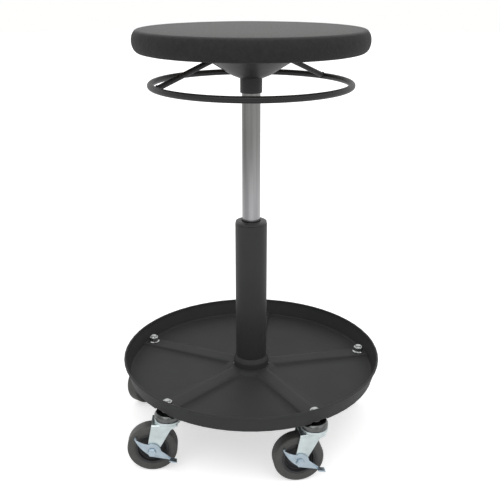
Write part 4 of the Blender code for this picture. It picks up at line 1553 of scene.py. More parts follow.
@dataclass
class Column:
    """The outer tube, the bush in its mouth and the socket at its foot."""

    radius: float = 0.025
    wall: float = 0.002
    top: float = 0.3498
    bottom: float = 0.0777
    plate: float = 0.004
    eye: float = 0.00435
    bush_bore: float = 0.01435
    bush_body: float = 0.0227
    bush_length: float = 0.074
    flange_radius: float = 0.0244
    flange_seat: float = 0.3501
    flange_top: float = 0.3527
    bush_top: float = 0.3539
    bevel_width: float = 0.0050
    socket_bore: float = 0.0253
    socket_radius: float = 0.0290
    socket_span: Point2 = (0.0853, 0.1213)
    socket_chamfer: float = 0.0012
    socket_slope: float = 0.0075
    socket_lip: float = 0.0005
    round_steps: int = 4
    segments: int = 128

    def build(self, dresser: Dresser) -> None:
        """Make the column's pieces.

        Args:
            dresser: What puts them in the scene.
        """
        pieces = (
            ("column_sleeve", self.tube(), "column_tube", Finish.COLUMN_PAINT),
            ("mouth_bush", self.bush(), "guide_bush", Finish.NYLON),
            ("foot_socket", self.socket(), "column_socket", Finish.COLUMN_PAINT),
        )
        for name, corners, node, finish in pieces:
            section = rounded(corners, True, self.round_steps)
            mesh = dresser.turned(name, section, finish, self.segments)
            dresser.show(name, mesh, "base", [node], finish)

    def tube(self) -> list[Corner]:
        """Return the tube's section, with the end plate that the rod stands on."""
        bore, plate_top = self.radius - self.wall, self.bottom + self.plate
        return [
            (self.radius, self.top, 0.0007),
            (self.radius, self.bottom, 0.0008),
            (self.eye, self.bottom, 0.0003),
            (self.eye, plate_top, 0.0003),
            (bore, plate_top, 0.0005),
            (bore, self.top, 0.0003),
        ]

    def bush(self) -> list[Corner]:
        """Return the bush's section, with its bevelled flange."""
        low = self.top - self.bush_length
        lip = self.bush_top - self.flange_top
        return [
            (self.flange_radius, self.flange_top, 0.0006),
            (self.flange_radius, self.flange_seat, 0.0002),
            (self.bush_body, self.flange_seat, 0.0),
            (self.bush_body, low, 0.0005),
            (self.bush_bore, low, 0.0004),
            (self.bush_bore, self.flange_top, 0.0004),
            (self.bush_bore + lip, self.bush_top, 0.0004),
            (self.flange_radius - self.bevel_width, self.bush_top, 0.0006),
        ]

    def socket(self) -> list[Corner]:
        """Return the socket's section, with a chamfer below and a weld's slope above."""
        low, high = self.socket_span
        inset = self.socket_radius - self.socket_chamfer
        return [
            (self.socket_bore, low, 0.0003),
            (inset, low, 0.0006),
            (self.socket_radius, low + self.socket_chamfer, 0.0006),
            (self.socket_radius, high - self.socket_slope, 0.0025),
            (self.socket_bore + self.socket_lip, high, 0.0003),
            (self.socket_bore, high, 0.0),
        ]


@dataclass
class Tray:
    """The pressed tool tray: a hub, a rib to each caster, a drafted wall and a hemmed rim."""

    sheet: float = 0.0015
    under: float = 0.0993
    hole: float = 0.0293
    rim: float = 0.2089
    depth: float = 0.0292
    draft: float = 0.0060
    corner: float = 0.0040
    hem: float = 0.0017
    rib_height: float = 0.004
    rib_half: float = 0.012
    rib_flank: float = 0.0035
    hub_pad: float = 0.0045
    hub_flank: float = 0.011
    caster_count: int = 5
    first_angle: float = radians(11.9)
    field_lines: int = 10
    flank_steps: int = 5
    hub_steps: int = 12
    floor_steps: int = 20
    corner_steps: int = 6
    wall_steps: int = 5
    hem_span: Point2 = (1.15 * pi, -0.32 * pi)
    hem_steps: int = 14
    sharp: float = radians(40)

    def build(self, dresser: Dresser) -> None:
        """Make the tray.

        Args:
            dresser: What puts it in the scene.
        """
        dresser.show("pressed_tray", self.mesh(), "base", ["tool_tray"], Finish.TRAY_COAT, self.sharp)

    def offsets(self) -> list[tuple[float, float]]:
        """Return each rib line's distance from the rib's middle and its share of the rib's height."""
        lines = [(0.0, 1.0), (self.rib_half / 2, 1.0)]
        for k in range(self.flank_steps + 1):
            share = k / self.flank_steps
            lines.append((self.rib_half + self.rib_flank * share, 1.0 - smoothstep(0.0, 1.0, share)))
        mirrored = [(-offset, share) for offset, share in reversed(lines[1:])]
        return mirrored + lines

    def lines(self, radius: float) -> list[tuple[float, float]]:
        """Return the angle and rib share of each grid line at a radius.

        Args:
            radius: The distance from the column's axis.

        Returns:
            The lines in order round the tray.
        """
        rib = self.offsets()
        foot = asin(rib[-1][0] / radius)
        step = (tau / self.caster_count - 2 * foot) / (self.field_lines + 1)
        found = []
        for index in range(self.caster_count):
            middle = self.first_angle + index * tau / self.caster_count
            found += [(middle + asin(offset / radius), share) for offset, share in rib]
            found += [(middle + foot + step * k, 0.0) for k in range(1, self.field_lines + 1)]
        return found

    def rings(self, lift: float) -> list[Point2]:
        """Return (radius, height) of the sheet's rings, from the hub to the wall's top.

        Args:
            lift: 0 on the under face, the sheet's thickness on the upper one.

        Returns:
            The rings in order.
        """
        wall_foot = self.rim - self.hem - self.draft
        floor_end = wall_foot - self.corner
        z = self.under + lift
        hub_end = self.hole + self.hub_pad + self.hub_flank
        hub, floor = hub_end - self.hole, floor_end - hub_end
        rings = [(self.hole + hub * k / self.hub_steps, z) for k in range(self.hub_steps + 1)]
        rings += [(hub_end + floor * k / self.floor_steps, z) for k in range(1, self.floor_steps + 1)]
        bend = self.corner - lift
        for k in range(1, self.corner_steps + 1):
            a = pi / 2 * k / self.corner_steps
            rings.append((floor_end + bend * sin(a), self.under + self.corner - bend * cos(a)))
        low, high = self.under + self.corner, self.under + self.depth - 2 * self.hem
        for k in range(1, self.wall_steps + 1):
            share = k / self.wall_steps
            rings.append((wall_foot - lift + self.draft * share, low + (high - low) * share))
        return rings

    def mesh(self) -> bpy.types.Mesh:
        """Press the sheet.

        Returns:
            The tray's mesh, closed.
        """
        hem_r, hem_z = self.rim - self.hem, self.under + self.depth - self.hem
        upper = [(ring, self.sheet) for ring in self.rings(self.sheet)]
        edge = arc((hem_r, hem_z), self.hem, *self.hem_span, self.hem_steps)
        hem = [(ring, None) for ring in edge]
        under = [(ring, 0.0) for ring in reversed(self.rings(0.0))]
        pad = self.hole + self.hub_pad
        bm = bmesh.new()
        loops = []
        for (radius, z), lift in upper + hem + under:
            hub = 1.0 - smoothstep(pad, pad + self.hub_flank, radius)
            loop = []
            for angle, share in self.lines(radius):
                height = z
                if lift is not None:
                    height = max(z, self.under + lift + self.rib_height * max(share, hub))
                loop.append(bm.verts.new((radius * cos(angle), radius * sin(angle), height)))
            loops.append(loop)
        for inner, outer in zip(loops, loops[1:] + loops[:1]):
            for k in range(len(inner)):
                bm.faces.new((inner[k - 1], inner[k], outer[k], outer[k - 1]))
        bmesh.ops.recalc_face_normals(bm, faces=bm.faces)
        return mesh_of("pressed_tray", bm)


@dataclass
class LiftRing:
    """The hand ring that releases the gas lift, and its two bent arms."""

    radius: float = 0.1473
    rod: float = 0.00475
    z: float = 0.5638
    arm_rod: float = 0.004
    arm_z: float = 0.6020
    arm_start: float = 0.0223
    arm_bend: float = 0.056
    bend_radius: float = 0.016
    arm_angles: Point2 = (radians(204.2), radians(38.6))
    bead: float = 0.0013
    bead_count: int = 14
    bead_cuts: int = 2
    ring_steps: int = 160
    ring_sides: int = 28

    def build(self, dresser: Dresser) -> None:
        """Make the ring with its arms and weld beads.

        Args:
            dresser: What puts it in the scene.
        """
        material = dresser.materials[Finish.SATIN_PAINT]
        sweep = dresser.forms.rod.sweep
        turns = [tau * k / self.ring_steps for k in range(self.ring_steps)]
        path = [Vector((self.radius * cos(a), self.radius * sin(a), self.z)) for a in turns]
        pieces = [sweep("hand_ring", path, True, self.rod, material, self.ring_sides)]
        for angle in self.arm_angles:
            along = Vector((cos(angle), sin(angle), 0.0))
            start = along * self.arm_start + Vector((0, 0, self.arm_z))
            corner = along * self.arm_bend + Vector((0, 0, self.arm_z))
            end = along * self.radius + Vector((0, 0, self.z))
            way = [start, corner, end]
            arm = sweep("ring_arm", way, False, self.arm_rod, material, bend=self.bend_radius)
            pieces += [arm, self.weld(dresser, end, (corner - end).normalized())]
        dresser.show("hand_ring", joined("hand_ring", pieces), "ring", ["lift_ring"], Finish.SATIN_PAINT)
        dresser.dress_node("release_plate", Finish.ZINC_PLATE)

    def weld(self, dresser: Dresser, place: Vector, along: Vector) -> bpy.types.Mesh:
        """Lay a weld bead round an arm where it meets the ring.

        Args:
            dresser: What holds the forms and finishes.
            place: Where the arm meets the ring's middle line.
            along: The arm's direction away from the ring.

        Returns:
            The bead's mesh.
        """
        bm = bmesh.new()
        bmesh.ops.create_icosphere(bm, subdivisions=self.bead_cuts, radius=self.bead)
        drop = mesh_of("bead", bm)
        material = dresser.materials[Finish.SATIN_PAINT]
        bead = dresser.forms.copies.spread("bead", drop, self.bead_count, self.arm_rod, material)
        turn = along.to_track_quat("Z", "Y").to_matrix().to_4x4()
        bead.transform(Matrix.Translation(place + along * self.rod) @ turn)
        return bead


@dataclass
class Casters:
    """The five casters: heads clamped to the tray, forks, axles, wheels and two side brakes."""

    count: int = 5
    circle: float = 0.1879
    first_angle: float = radians(11.9)
    braked: tuple[int, ...] = (4, 5)
    offset: float = 0.0245
    axle_z: float = 0.038
    wheel_radius: float = 0.038
    wheel_half: float = 0.012
    tyre_bore: float = 0.0253
    tyre_edge: float = 0.005
    tyre_lip: Point2 = (0.0012, 0.0002)
    tyre_band: float = 0.0030
    core_rim: float = 0.0250
    core_inner: float = 0.0215
    core_band: float = 0.0108
    core_web: float = 0.0035
    hub_radius: float = 0.0095
    hub_taper: Point2 = (0.0010, 0.0030)
    core_draft: float = 0.0005
    axle_bore: float = 0.00435
    axle_radius: float = 0.004
    head_flat: float = 0.0058
    head_height: float = 0.0042
    head_crown: tuple[Point3, ...] = ((0.0, 0.0009, 1.0), (0.0002, 0.0004, 0.5), (0.0008, 0.0, 0.0))
    peened_end: tuple[Point2, ...] = (
        (0.0, 0.0021),
        (0.0035, 0.0020),
        (0.0058, 0.0014),
        (0.0066, 0.0005),
        (0.0066, 0.0),
    )
    fork_sheet: float = 0.0025
    leg_outer: float = 0.0163
    fork_top: float = 0.082
    fork_bend: float = 0.003
    fork_edge: float = 0.0005
    fork_edge_angle: float = radians(50)
    leg_rows: int = 26
    leg_columns: int = 8
    row_crowding: float = 1.25
    bend_rows: int = 6
    plate_rows: int = 8
    plate_front: float = 0.015
    leg_front: float = 0.0045
    leg_rear: float = 0.0240
    leg_shoulder: float = 0.0740
    foot_radius: float = 0.0080
    foot_start: float = radians(-82)
    foot_steps: int = 14
    gap: float = 0.0003
    stem_radius: float = 0.00475
    stem_top: float = 0.1161
    shoulder_z: float = 0.1030
    collar_radius: float = 0.0090
    collar_z: float = 0.0985
    cup_radius: float = 0.020
    cup_wall: float = 0.0026
    cup_shoulder: float = 0.0935
    cup_low: float = 0.0874
    race_bore: float = 0.0145
    race_top: float = 0.0864
    kingpin: float = 0.005
    kingpin_head: float = 0.0085
    kingpin_span: Point2 = (0.0762, 0.0792)
    thread_pitch: float = 0.00125
    thread_depth: float = 0.0006
    stem_turn: float = 0.9
    nut_turn: float = 0.77
    nut_z: float = 0.1051
    nut_flange: float = 0.0095
    nut_flange_height: float = 0.0015
    nut_flat: float = 0.00715
    nut_height: float = 0.0075
    nut_bore: float = 0.00505
    nut_mouth: float = 0.0006
    nut_fillet: Point2 = (0.0006, 0.0004)
    nut_brim: tuple[Point2, ...] = ((0.0003, 0.0), (0.0, 0.0003), (0.0, 0.0008), (0.0006, 0.0011))
    nut_crown: tuple[Point3, ...] = (
        (0.0, 0.0012, 1.0),
        (0.0001, 0.0006, 0.75),
        (0.0005, 0.0001, 0.12),
        (0.0009, 0.0, 0.0),
    )
    brake_sheet: float = 0.002
    brake_boss: float = 0.0138
    boss_span: Point2 = (radians(113), radians(5))
    brake_tip: Point2 = (-0.0262, 0.0240)
    brake_hollow: float = 0.0016
    brake_keel: float = 0.0088
    brake_bow: float = 0.0036
    brake_heel: Point2 = (0.0278, -0.0150)
    brake_heel_height: float = 0.0040
    pedal_length: float = 0.0080
    pedal_width: float = 0.0115
    lug_radius: float = 0.0014
    lug_inset: float = 0.0028
    lug_clearance: float = 0.0010
    lever_edge: float = 0.00045
    lever_edge_angle: float = radians(40)
    pedal_edge: float = 0.0006
    lever_steps: int = 18
    hollow_steps: int = 10
    edge_steps: int = 2
    fine_steps: int = 7
    round_steps: int = 4
    head_segments: int = 72
    tyre_segments: int = 120
    drill_segments: int = 32
    lug_segments: int = 24

    def build(self, dresser: Dresser) -> None:
        """Make all the casters' pieces.

        Args:
            dresser: What puts them in the scene.
        """
        self.heads(dresser)
        fork, tyre = self.fork(dresser), self.tyre(dresser)
        core, brake = self.core(dresser), self.brake(dresser)
        axles = {kind: self.axle(dresser, kind) for kind in AxleKind}
        for index in range(1, self.count + 1):
            name = f"caster_{index}"
            place = self.place(dresser, index)
            kind = AxleKind.BRAKED if index in self.braked else AxleKind.PLAIN
            pieces = [
                ("bent_fork", fork, "yoke", "fork", Finish.ZINC_PLATE),
                ("pin", axles[kind], "yoke", "axle", Finish.BLUE_PLATE),
                ("tread", tyre, "wheel", "tyre", Finish.TYRE_RUBBER),
                ("dish", core, "wheel", "wheel_core", Finish.WHEEL_NYLON),
            ]
            if kind is AxleKind.BRAKED:
                pieces.append(("side_brake", brake, "brake", "brake_lever", Finish.BLUE_PLATE))
            for piece, form, body, node, finish in pieces:
                mesh = self.placed(form, place)
                dresser.show(f"{name}_{piece}", mesh, f"{name}_{body}", [f"{name}_{node}"], finish)
            dresser.dress_node(f"{name}_ball_ring", Finish.GROUND_STEEL)

    def place(self, dresser: Dresser, index: int) -> Matrix:
        """Return where a caster stands and how it is swung, from the record's joints.

        Args:
            dresser: What holds the record.
            index: The caster's number, from 1.

        Returns:
            The matrix from the caster's own frame, with its stem at the origin, to the part's.
        """
        x, y, _ = dresser.joint(f"caster_{index}_swivel")["pos_m"]
        axis = dresser.joint(f"caster_{index}_roll")["axis"]
        return Matrix.Translation((x, y, 0.0)) @ Matrix.Rotation(atan2(-axis[0], axis[1]), 4, "Z")

    @staticmethod
    def placed(mesh: bpy.types.Mesh, place: Matrix) -> bpy.types.Mesh:
        """Return a copy of a mesh at a place."""
        copy = mesh.copy()
        copy.transform(place)
        return copy

    def axle_place(self) -> Matrix:
        """Return the matrix that takes the origin to the axle's middle."""
        return Matrix.Translation((-self.offset, 0.0, self.axle_z))

    def on_axle(self, mesh: bpy.types.Mesh) -> bpy.types.Mesh:
        """Lay a mesh turned about Z on the axle, its top to the brake's side, and return it."""
        mesh.transform(self.axle_place() @ Matrix.Rotation(pi / 2, 4, "X"))
        return mesh

    @staticmethod
    def both_sides(upper: list[Corner]) -> list[Corner]:
        """Return a wheel section's outer half, followed by its mirror image."""
        return upper + [(r, -y, edge) for r, y, edge in reversed(upper)]

    @staticmethod
    def split(rows: list[tuple[Point2, float]]) -> tuple[list[Point2], list[float]]:
        """Split rows into profile points and how far each follows the flats."""
        return [point for point, _ in rows], [share for _, share in rows]

    def heads(self, dresser: Dresser) -> None:
        """Make the five stems and the five nuts, each kind as one piece on the base.

        Args:
            dresser: What puts them in the scene.
        """
        material = dresser.materials[Finish.ZINC_PLATE]
        spread = dresser.forms.copies.spread
        first, count = self.first_angle, self.count
        numbers = range(1, count + 1)
        stem = dresser.turned("stem", self.stem_profile(), Finish.ZINC_PLATE, self.head_segments)
        stems = spread("caster_heads", stem, count, self.circle, material, first, self.stem_turn)
        nodes = [f"caster_{k}_stem" for k in numbers]
        # The stems carry painted shade: their cups under the tray are darkened.
        dresser.show("caster_heads", stems, "base", nodes, Finish.PAINTED_SHADE_PLATE)
        profile, flat = self.nut_profile()
        nut = dresser.turned("nut", profile, Finish.ZINC_PLATE, self.head_segments, flat)
        nuts = spread("caster_nuts", nut, count, self.circle, material, first, self.nut_turn)
        nodes = [f"caster_{k}_nut" for k in numbers]
        # The nuts carry painted shade: a darker copy of the zinc plate.
        dresser.show("caster_nuts", nuts, "base", nodes, Finish.SHADED_NUT_PLATE)

    def stem_profile(self) -> list[Point2]:
        """Return the profile of a caster's fixed head: threaded stem, collar, race cup and kingpin."""
        inner = self.cup_radius - self.cup_wall
        low, high = self.kingpin_span
        head = [
            (0.0, low, 0.0),
            (self.kingpin_head, low, 0.0006),
            (self.kingpin_head, high, 0.0004),
            (self.kingpin, high, 0.0),
            (self.kingpin, self.cup_low, 0.0005),
            (self.cup_radius, self.cup_low, 0.0010),
            (self.cup_radius, self.cup_shoulder, 0.003),
            (inner, self.collar_z - self.cup_wall / 2, 0.003),
            (self.collar_radius, self.collar_z, 0.0010),
            (self.collar_radius, self.shoulder_z, 0.0004),
            (self.stem_radius, self.shoulder_z, 0.0),
            (self.stem_radius, self.nut_z, 0.0),
        ]
        profile = rounded(head, False)
        root = self.stem_radius - self.thread_depth
        z = self.nut_z + self.thread_pitch
        while z + self.thread_pitch < self.stem_top:
            profile += [(self.stem_radius, z), (root, z + self.thread_pitch / 2)]
            z += self.thread_pitch
        profile += [(root, self.stem_top), (0.0, self.stem_top)]
        return profile

    def nut_profile(self) -> tuple[list[Point2], list[float]]:
        """Return a flanged nut's profile and how far each point follows its flats."""
        low, top = self.nut_z, self.nut_z + self.nut_flange_height + self.nut_height
        shelf, bore, flat = low + self.nut_flange_height, self.nut_bore, self.nut_flat
        out, up = self.nut_fillet
        rows = [((bore, low), 0.0)]
        rows += [((self.nut_flange - inset, low + rise), 0.0) for inset, rise in self.nut_brim]
        rows += [((flat + out, shelf), 0.6), ((flat, shelf + up), 1.0)]
        rows += [((flat - inset, top - drop), share) for inset, drop, share in self.nut_crown]
        rows += [((bore + self.nut_mouth, top), 0.0), ((bore, top - self.nut_mouth), 0.0)]
        return self.split(rows)

    def tyre(self, dresser: Dresser) -> bpy.types.Mesh:
        """Turn the tyre, with a raised sidewall band and rounded shoulders.

        Args:
            dresser: What holds the forms and finishes.

        Returns:
            The tyre's mesh in the caster's frame.
        """
        half, bore, outer = self.wheel_half, self.tyre_bore, self.wheel_radius
        out, up = self.tyre_lip
        upper = [
            (bore, self.core_band, 0.0003),
            (bore + out, self.core_band + up, 0.0005),
            (bore + self.tyre_band, half, 0.0008),
            (outer, half, self.tyre_edge),
        ]
        section = rounded(self.both_sides(upper), True, self.fine_steps)
        return self.on_axle(dresser.turned("tyre", section, Finish.TYRE_RUBBER, self.tyre_segments))

    def core(self, dresser: Dresser) -> bpy.types.Mesh:
        """Turn the moulded core: rim band, dished web and hub.

        Args:
            dresser: What holds the forms and finishes.

        Returns:
            The core's mesh in the caster's frame.
        """
        half, inner = self.wheel_half, self.core_inner
        out, down = self.hub_taper
        upper = [
            (self.axle_bore, half, 0.0003),
            (self.hub_radius, half, 0.0010),
            (self.hub_radius + out, half - down, 0.0015),
            (inner, self.core_web, 0.0018),
            (inner + self.core_draft, self.core_band, 0.0006),
            (self.core_rim, self.core_band, 0.0003),
        ]
        section = rounded(self.both_sides(upper), True)
        return self.on_axle(dresser.turned("core", section, Finish.WHEEL_NYLON))

    def axle(self, dresser: Dresser, kind: AxleKind) -> bpy.types.Mesh:
        """Turn an axle: a hex head on the brake's side, a shaft and a peened end.

        Args:
            dresser: What holds the forms and finishes.
            kind: Whether the head sits on a brake lever.

        Returns:
            The axle's mesh in the caster's frame.
        """
        seat = self.leg_outer + self.gap
        if kind is AxleKind.BRAKED:
            seat += self.brake_sheet + self.gap
        far = -self.leg_outer - self.gap
        top, flat = seat + self.head_height, self.head_flat
        rows = [((radius, far - height), 0.0) for radius, height in self.peened_end]
        rows += [((self.axle_radius, far), 0.0), ((self.axle_radius, seat), 0.0), ((flat, seat), 1.0)]
        rows += [((flat - inset, top - drop), share) for inset, drop, share in self.head_crown]
        rows.append(((0.0, top), 0.0))
        profile, shares = self.split(rows)
        axle = dresser.turned("axle", profile, Finish.ZINC_PLATE, self.head_segments, shares)
        return self.on_axle(axle)

    def leg_edges(self) -> tuple[list[Point2], list[Point2]]:
        """Return the rear and front edges of a fork leg, each from its foot up, as (x, z) points."""
        centre = Vector((-self.offset, self.axle_z))
        rear_top = Vector((-self.leg_rear, self.fork_top))
        front_top = Vector((self.leg_front, self.leg_shoulder))
        rear = self._touch(centre, rear_top, -1)
        front = self._touch(centre, front_top, 1)
        if rear > 0:
            rear -= tau
        middle, radius, steps = tuple(centre), self.foot_radius, self.foot_steps
        rear_arc = arc(middle, radius, -pi - self.foot_start, rear, steps)
        front_arc = arc(middle, radius, self.foot_start, front, steps)
        plate_z = self.fork_top - self.fork_sheet
        lip = [(self.plate_front, plate_z), (self.plate_front, self.fork_top)]
        return [*rear_arc, tuple(rear_top)], [*front_arc, tuple(front_top), *lip]

    def _touch(self, centre: Vector, point: Vector, side: int) -> float:
        """Return the angle at which a line from a point touches the foot's circle."""
        away = point - centre
        return atan2(away.y, away.x) - side * (pi / 2 - asin(self.foot_radius / away.length))

    @staticmethod
    def _across(edge: list[Point2], z: float) -> float:
        """Return an edge's x at a height."""
        for (x0, z0), (x1, z1) in zip(edge, edge[1:]):
            if z0 <= z <= z1 and z1 > z0:
                return x0 + (x1 - x0) * (z - z0) / (z1 - z0)
        return edge[0][0] if z < edge[0][1] else edge[-1][0]

    def fork(self, dresser: Dresser) -> bpy.types.Mesh:
        """Bend the fork from a sheet cut to the legs' outline, drill it and set the lower race on it.

        Args:
            dresser: What holds the forms and finishes.

        Returns:
            The fork's mesh in the caster's frame.
        """
        rear, front = self.leg_edges()
        low = rear[0][1]
        bend_z = self.fork_top - self.fork_bend
        shares = [(k / self.leg_rows) ** self.row_crowding for k in range(self.leg_rows + 1)]
        flat = self.leg_outer - self.fork_bend
        way = [(self.leg_outer, low + (bend_z - low) * share) for share in shares]
        way += arc((flat, bend_z), self.fork_bend, 0.0, pi / 2, self.bend_rows)[1:]
        side = list(way)
        way += [(flat - 2 * flat * k / self.plate_rows, self.fork_top) for k in range(1, self.plate_rows)]
        way += [(-y, z) for y, z in reversed(side)]
        bm = bmesh.new()
        rows = []
        for y, z in way:
            x0, x1 = self._across(rear, z), self._across(front, z)
            places = [x0 + (x1 - x0) * k / self.leg_columns for k in range(self.leg_columns + 1)]
            rows.append([bm.verts.new((x, y, z)) for x in places])
        for one, two in zip(rows, rows[1:]):
            for k in range(self.leg_columns):
                bm.faces.new((one[k], one[k + 1], two[k + 1], two[k]))
        bmesh.ops.recalc_face_normals(bm, faces=bm.faces)
        top_face = max(bm.faces, key=lambda face: face.calc_center_median().z)
        if top_face.normal.z < 0.0:
            bmesh.ops.reverse_faces(bm, faces=bm.faces)
        solid = {"thickness": self.fork_sheet, "offset": -1.0, "use_even_offset": True}
        edge = edge_step(self.fork_edge, self.edge_steps, self.fork_edge_angle)
        bent = with_modifiers(mesh_of("fork", bm), [("SOLIDIFY", solid), edge])
        kingpin = self.drill(dresser, self.kingpin + self.gap, self.fork_top / 2, self.fork_top * 2)
        drilled = outward(less(bent, [self.axle_drill(dresser), kingpin]))
        return joined("fork", [drilled, self.race(dresser)])

    def race(self, dresser: Dresser) -> bpy.types.Mesh:
        """Turn the lower race, which the balls run in and the cup covers.

        Args:
            dresser: What holds the forms and finishes.

        Returns:
            The race's mesh in the caster's frame.
        """
        low = self.fork_top - self.gap
        corners = [
            (self.race_bore, low, 0.0003),
            (self.cup_radius, low, 0.0008),
            (self.cup_radius, self.race_top, 0.0008),
            (self.race_bore, self.race_top, 0.0003),
        ]
        section = rounded(corners, True, self.round_steps)
        return dresser.turned("race", section, Finish.ZINC_PLATE, self.head_segments)

    def drill(self, dresser: Dresser, radius: float, low: float, high: float) -> bpy.types.Mesh:
        """Turn a cutter for a round hole along Z.

        Args:
            dresser: What holds the forms and finishes.
            radius: The hole's radius.
            low: Where the cutter starts on Z.
            high: Where it ends.

        Returns:
            The cutter's mesh.
        """
        profile = [(0.0, low), (radius, low), (radius, high), (0.0, high)]
        return dresser.turned("drill", profile, Finish.ZINC_PLATE, self.drill_segments)

    def axle_drill(self, dresser: Dresser) -> bpy.types.Mesh:
        """Turn the cutter for the axle's holes.

        Args:
            dresser: What holds the forms and finishes.

        Returns:
            The cutter's mesh in the caster's frame.
        """
        reach = 2 * self.leg_outer
        return self.on_axle(self.drill(dresser, self.axle_radius + self.gap, -reach, reach))

    def brake(self, dresser: Dresser) -> bpy.types.Mesh:
        """Cut the crescent lever, bend out its pedal and raise its lug.

        Args:
            dresser: What holds the forms and finishes.

        Returns:
            The lever's mesh in the caster's frame.
        """
        near = -self.leg_outer - self.gap
        far = near - self.brake_sheet
        boss = arc((0.0, 0.0), self.brake_boss, *self.boss_span, self.lever_steps)
        tip, heel = Vector(self.brake_tip), Vector(self.brake_heel)
        keel = Vector((0.0, -self.brake_keel))
        belly = bowed(keel, tip, self.brake_bow, self.lever_steps)
        hollow = bowed(tip, Vector(boss[0]), -self.brake_hollow, self.hollow_steps)
        heel_top = heel + Vector((0.0, self.brake_heel_height))
        outline = [tuple(heel), *belly, *hollow[1:-1], *boss, tuple(heel_top)]
        plate = eased(prism(outline, far, near), self.lever_edge, self.edge_steps, self.lever_edge_angle)
        along = (heel - keel).normalized()
        up = Vector((-along.y, along.x)) * self.brake_sheet
        start = (heel + heel_top - up) / 2 - along * self.brake_sheet
        end = start + along * self.pedal_width
        tab = [tuple(start), tuple(end), tuple(end + up), tuple(start + up)]
        pedal = eased(prism(tab, far - self.pedal_length, near), self.pedal_edge)
        lug = self.lug(dresser, tip * (1 - self.lug_inset / tip.length), -far - self.brake_sheet / 2)
        for piece in (plate, pedal, lug):
            piece.transform(self.axle_place())
        drilled = less(plate, [self.axle_drill(dresser)])
        return joined("brake", [drilled, pedal, lug])

    def lug(self, dresser: Dresser, place: Vector, high: float) -> bpy.types.Mesh:
        """Turn the lug on the lever's inner side.

        Args:
            dresser: What holds the forms and finishes.
            place: Where it stands on the lever, from the axle's middle.
            high: How far from the wheel's middle it ends, inside the lever's sheet.

        Returns:
            The lug's mesh, about the axle's middle.
        """
        low = self.wheel_half + self.lug_clearance
        corners = [
            (0.0, low, 0.0),
            (self.lug_radius, low, 0.0004),
            (self.lug_radius, high, 0.0),
            (0.0, high, 0.0),
        ]
        section = rounded(corners, False, self.round_steps)
        lug = dresser.turned("lug", section, Finish.ZINC_PLATE, self.lug_segments)
        lug.transform(Matrix.Translation((place.x, 0.0, place.y)) @ Matrix.Rotation(pi / 2, 4, "X"))
        return lug


# Studio and camera


@dataclass(frozen=True)
class Lamp:
    """One soft and even lamp: where its light comes from, how wide it is and how strong."""

    name: str
    source: Point3
    spread: float
    strength: float

    def hang(self) -> None:
        """Add the lamp to the scene."""
        light = bpy.data.lights.new(self.name, "SUN")
        light.angle = self.spread
        light.energy = self.strength
        obj = linked(self.name, light)
        obj.location = self.source
        obj.rotation_euler = Vector(self.source).to_track_quat("Z", "Y").to_euler()


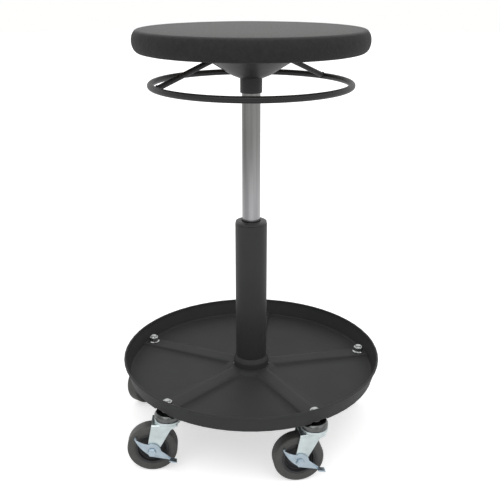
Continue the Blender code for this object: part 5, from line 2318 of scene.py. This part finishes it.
@dataclass
class Studio:
    """A pale floor, white surroundings, soft lamps and the photograph's camera."""

    floor_radius: float = 9.0
    floor_sides: int = 96
    floor_tone: float = 0.86
    floor_roughness: float = 0.9
    floor_glow: float = 0.55
    floor_reflected: float = 0.15
    ambient: float = 0.62
    backdrop: Colour = (1.0, 1.0, 0.992)
    backdrop_start: Point2 = (-0.20, 0.60)
    eye: Point3 = (0.0, -1.1402, 0.7210)
    pitch: float = radians(69.92)
    lens: float = 55.17
    sensor: float = 36.0
    shift: float = -0.00234
    clip: Point2 = (0.05, 50.0)
    lamps: tuple[Lamp, ...] = (
        Lamp("key", (-0.5, -1.2, 2.2), radians(50), 0.80),
        Lamp("fill", (1.4, -0.7, 1.6), radians(60), 0.45),
    )

    def build(self) -> None:
        """Set up the floor, the light and the camera."""
        self.floor()
        self.surroundings()
        for lamp in self.lamps:
            lamp.hang()
        self.camera()
        bpy.context.scene.view_settings.view_transform = "Standard"

    def floor(self) -> None:
        """Lay a round floor that keeps the stool's shadow, reads as white and is clear from below."""
        bm = bmesh.new()
        bmesh.ops.create_circle(bm, cap_ends=True, segments=self.floor_sides, radius=self.floor_radius)
        mesh = mesh_of("studio_floor", bm)
        material = bpy.data.materials.new("studio_floor")
        material.use_nodes = True
        tree = material.node_tree
        facing = tree.nodes.new("ShaderNodeNewGeometry")
        settings = {
            "Base Color": (self.floor_tone, self.floor_tone, self.floor_tone, 1.0),
            "Roughness": self.floor_roughness,
            "Specular IOR Level": 0.0,
            "Emission Color": (1.0, 1.0, 1.0, 1.0),
            "Emission Strength": self._for_rays(tree, 0.0, self.floor_glow, self.floor_reflected),
            "Alpha": math_node(tree, "SUBTRACT", 1.0, facing.outputs["Backfacing"]),
        }
        for key, value in settings.items():
            feed(tree, tree.nodes["Principled BSDF"].inputs[key], value)
        mesh.materials.append(material)
        floor = linked("studio_floor", mesh)

    def surroundings(self) -> None:
        """Light the scene from all round, with a white backdrop for the camera and for reflections."""
        world = bpy.data.worlds.new("studio")
        world.use_nodes = True
        tree = world.node_tree
        background = tree.nodes["Background"]
        background.inputs["Color"].default_value = (*self.backdrop, 1.0)
        missing = 1.0 - self.ambient
        behind = ramp(tree, coordinate(tree, "Generated", "Y"), self.backdrop_start, 0.0, missing)
        strength = self._for_rays(tree, self.ambient, missing, behind)
        tree.links.new(strength, background.inputs["Strength"])
        bpy.context.scene.world = world

    @staticmethod
    def _for_rays(
        tree: bpy.types.NodeTree, plain: float, seen: float, reflected: float | bpy.types.NodeSocket
    ) -> bpy.types.NodeSocket:
        """Return a strength that depends on which rays arrive.

        Args:
            tree: The material's or world's tree.
            plain: The strength for every ray.
            seen: What camera rays get on top.
            reflected: What reflections and glass get on top.

        Returns:
            The strength's socket.
        """
        rays = tree.nodes.new("ShaderNodeLightPath").outputs
        mirrored = math_node(tree, "MAXIMUM", rays["Is Glossy Ray"], rays["Is Transmission Ray"])
        unseen = math_node(tree, "MULTIPLY_ADD", mirrored, reflected, plain)
        return math_node(tree, "MULTIPLY_ADD", rays["Is Camera Ray"], seen, unseen)

    def camera(self) -> None:
        """Stand the camera where the photograph was taken."""
        lens = bpy.data.cameras.new("camera")
        lens.sensor_width = self.sensor
        lens.lens = self.lens
        lens.shift_x = self.shift
        lens.clip_start, lens.clip_end = self.clip
        obj = linked("camera", lens)
        obj.location = self.eye
        obj.rotation_euler = (self.pitch, 0.0, 0.0)
        bpy.context.scene.camera = obj


def main() -> None:
    """Load the frame, dress the stool and set up the studio."""
    logging.basicConfig(level=logging.INFO, format="%(name)s: %(message)s")
    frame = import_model()
    dresser = Dresser(frame)
    for assembly in (Seat(), GasLift(), Column(), Tray(), LiftRing(), Casters()):
        LOG.info("building %s", type(assembly).__name__)
        assembly.build(dresser)
    Studio().build()


if __name__ == "__main__":
    main()
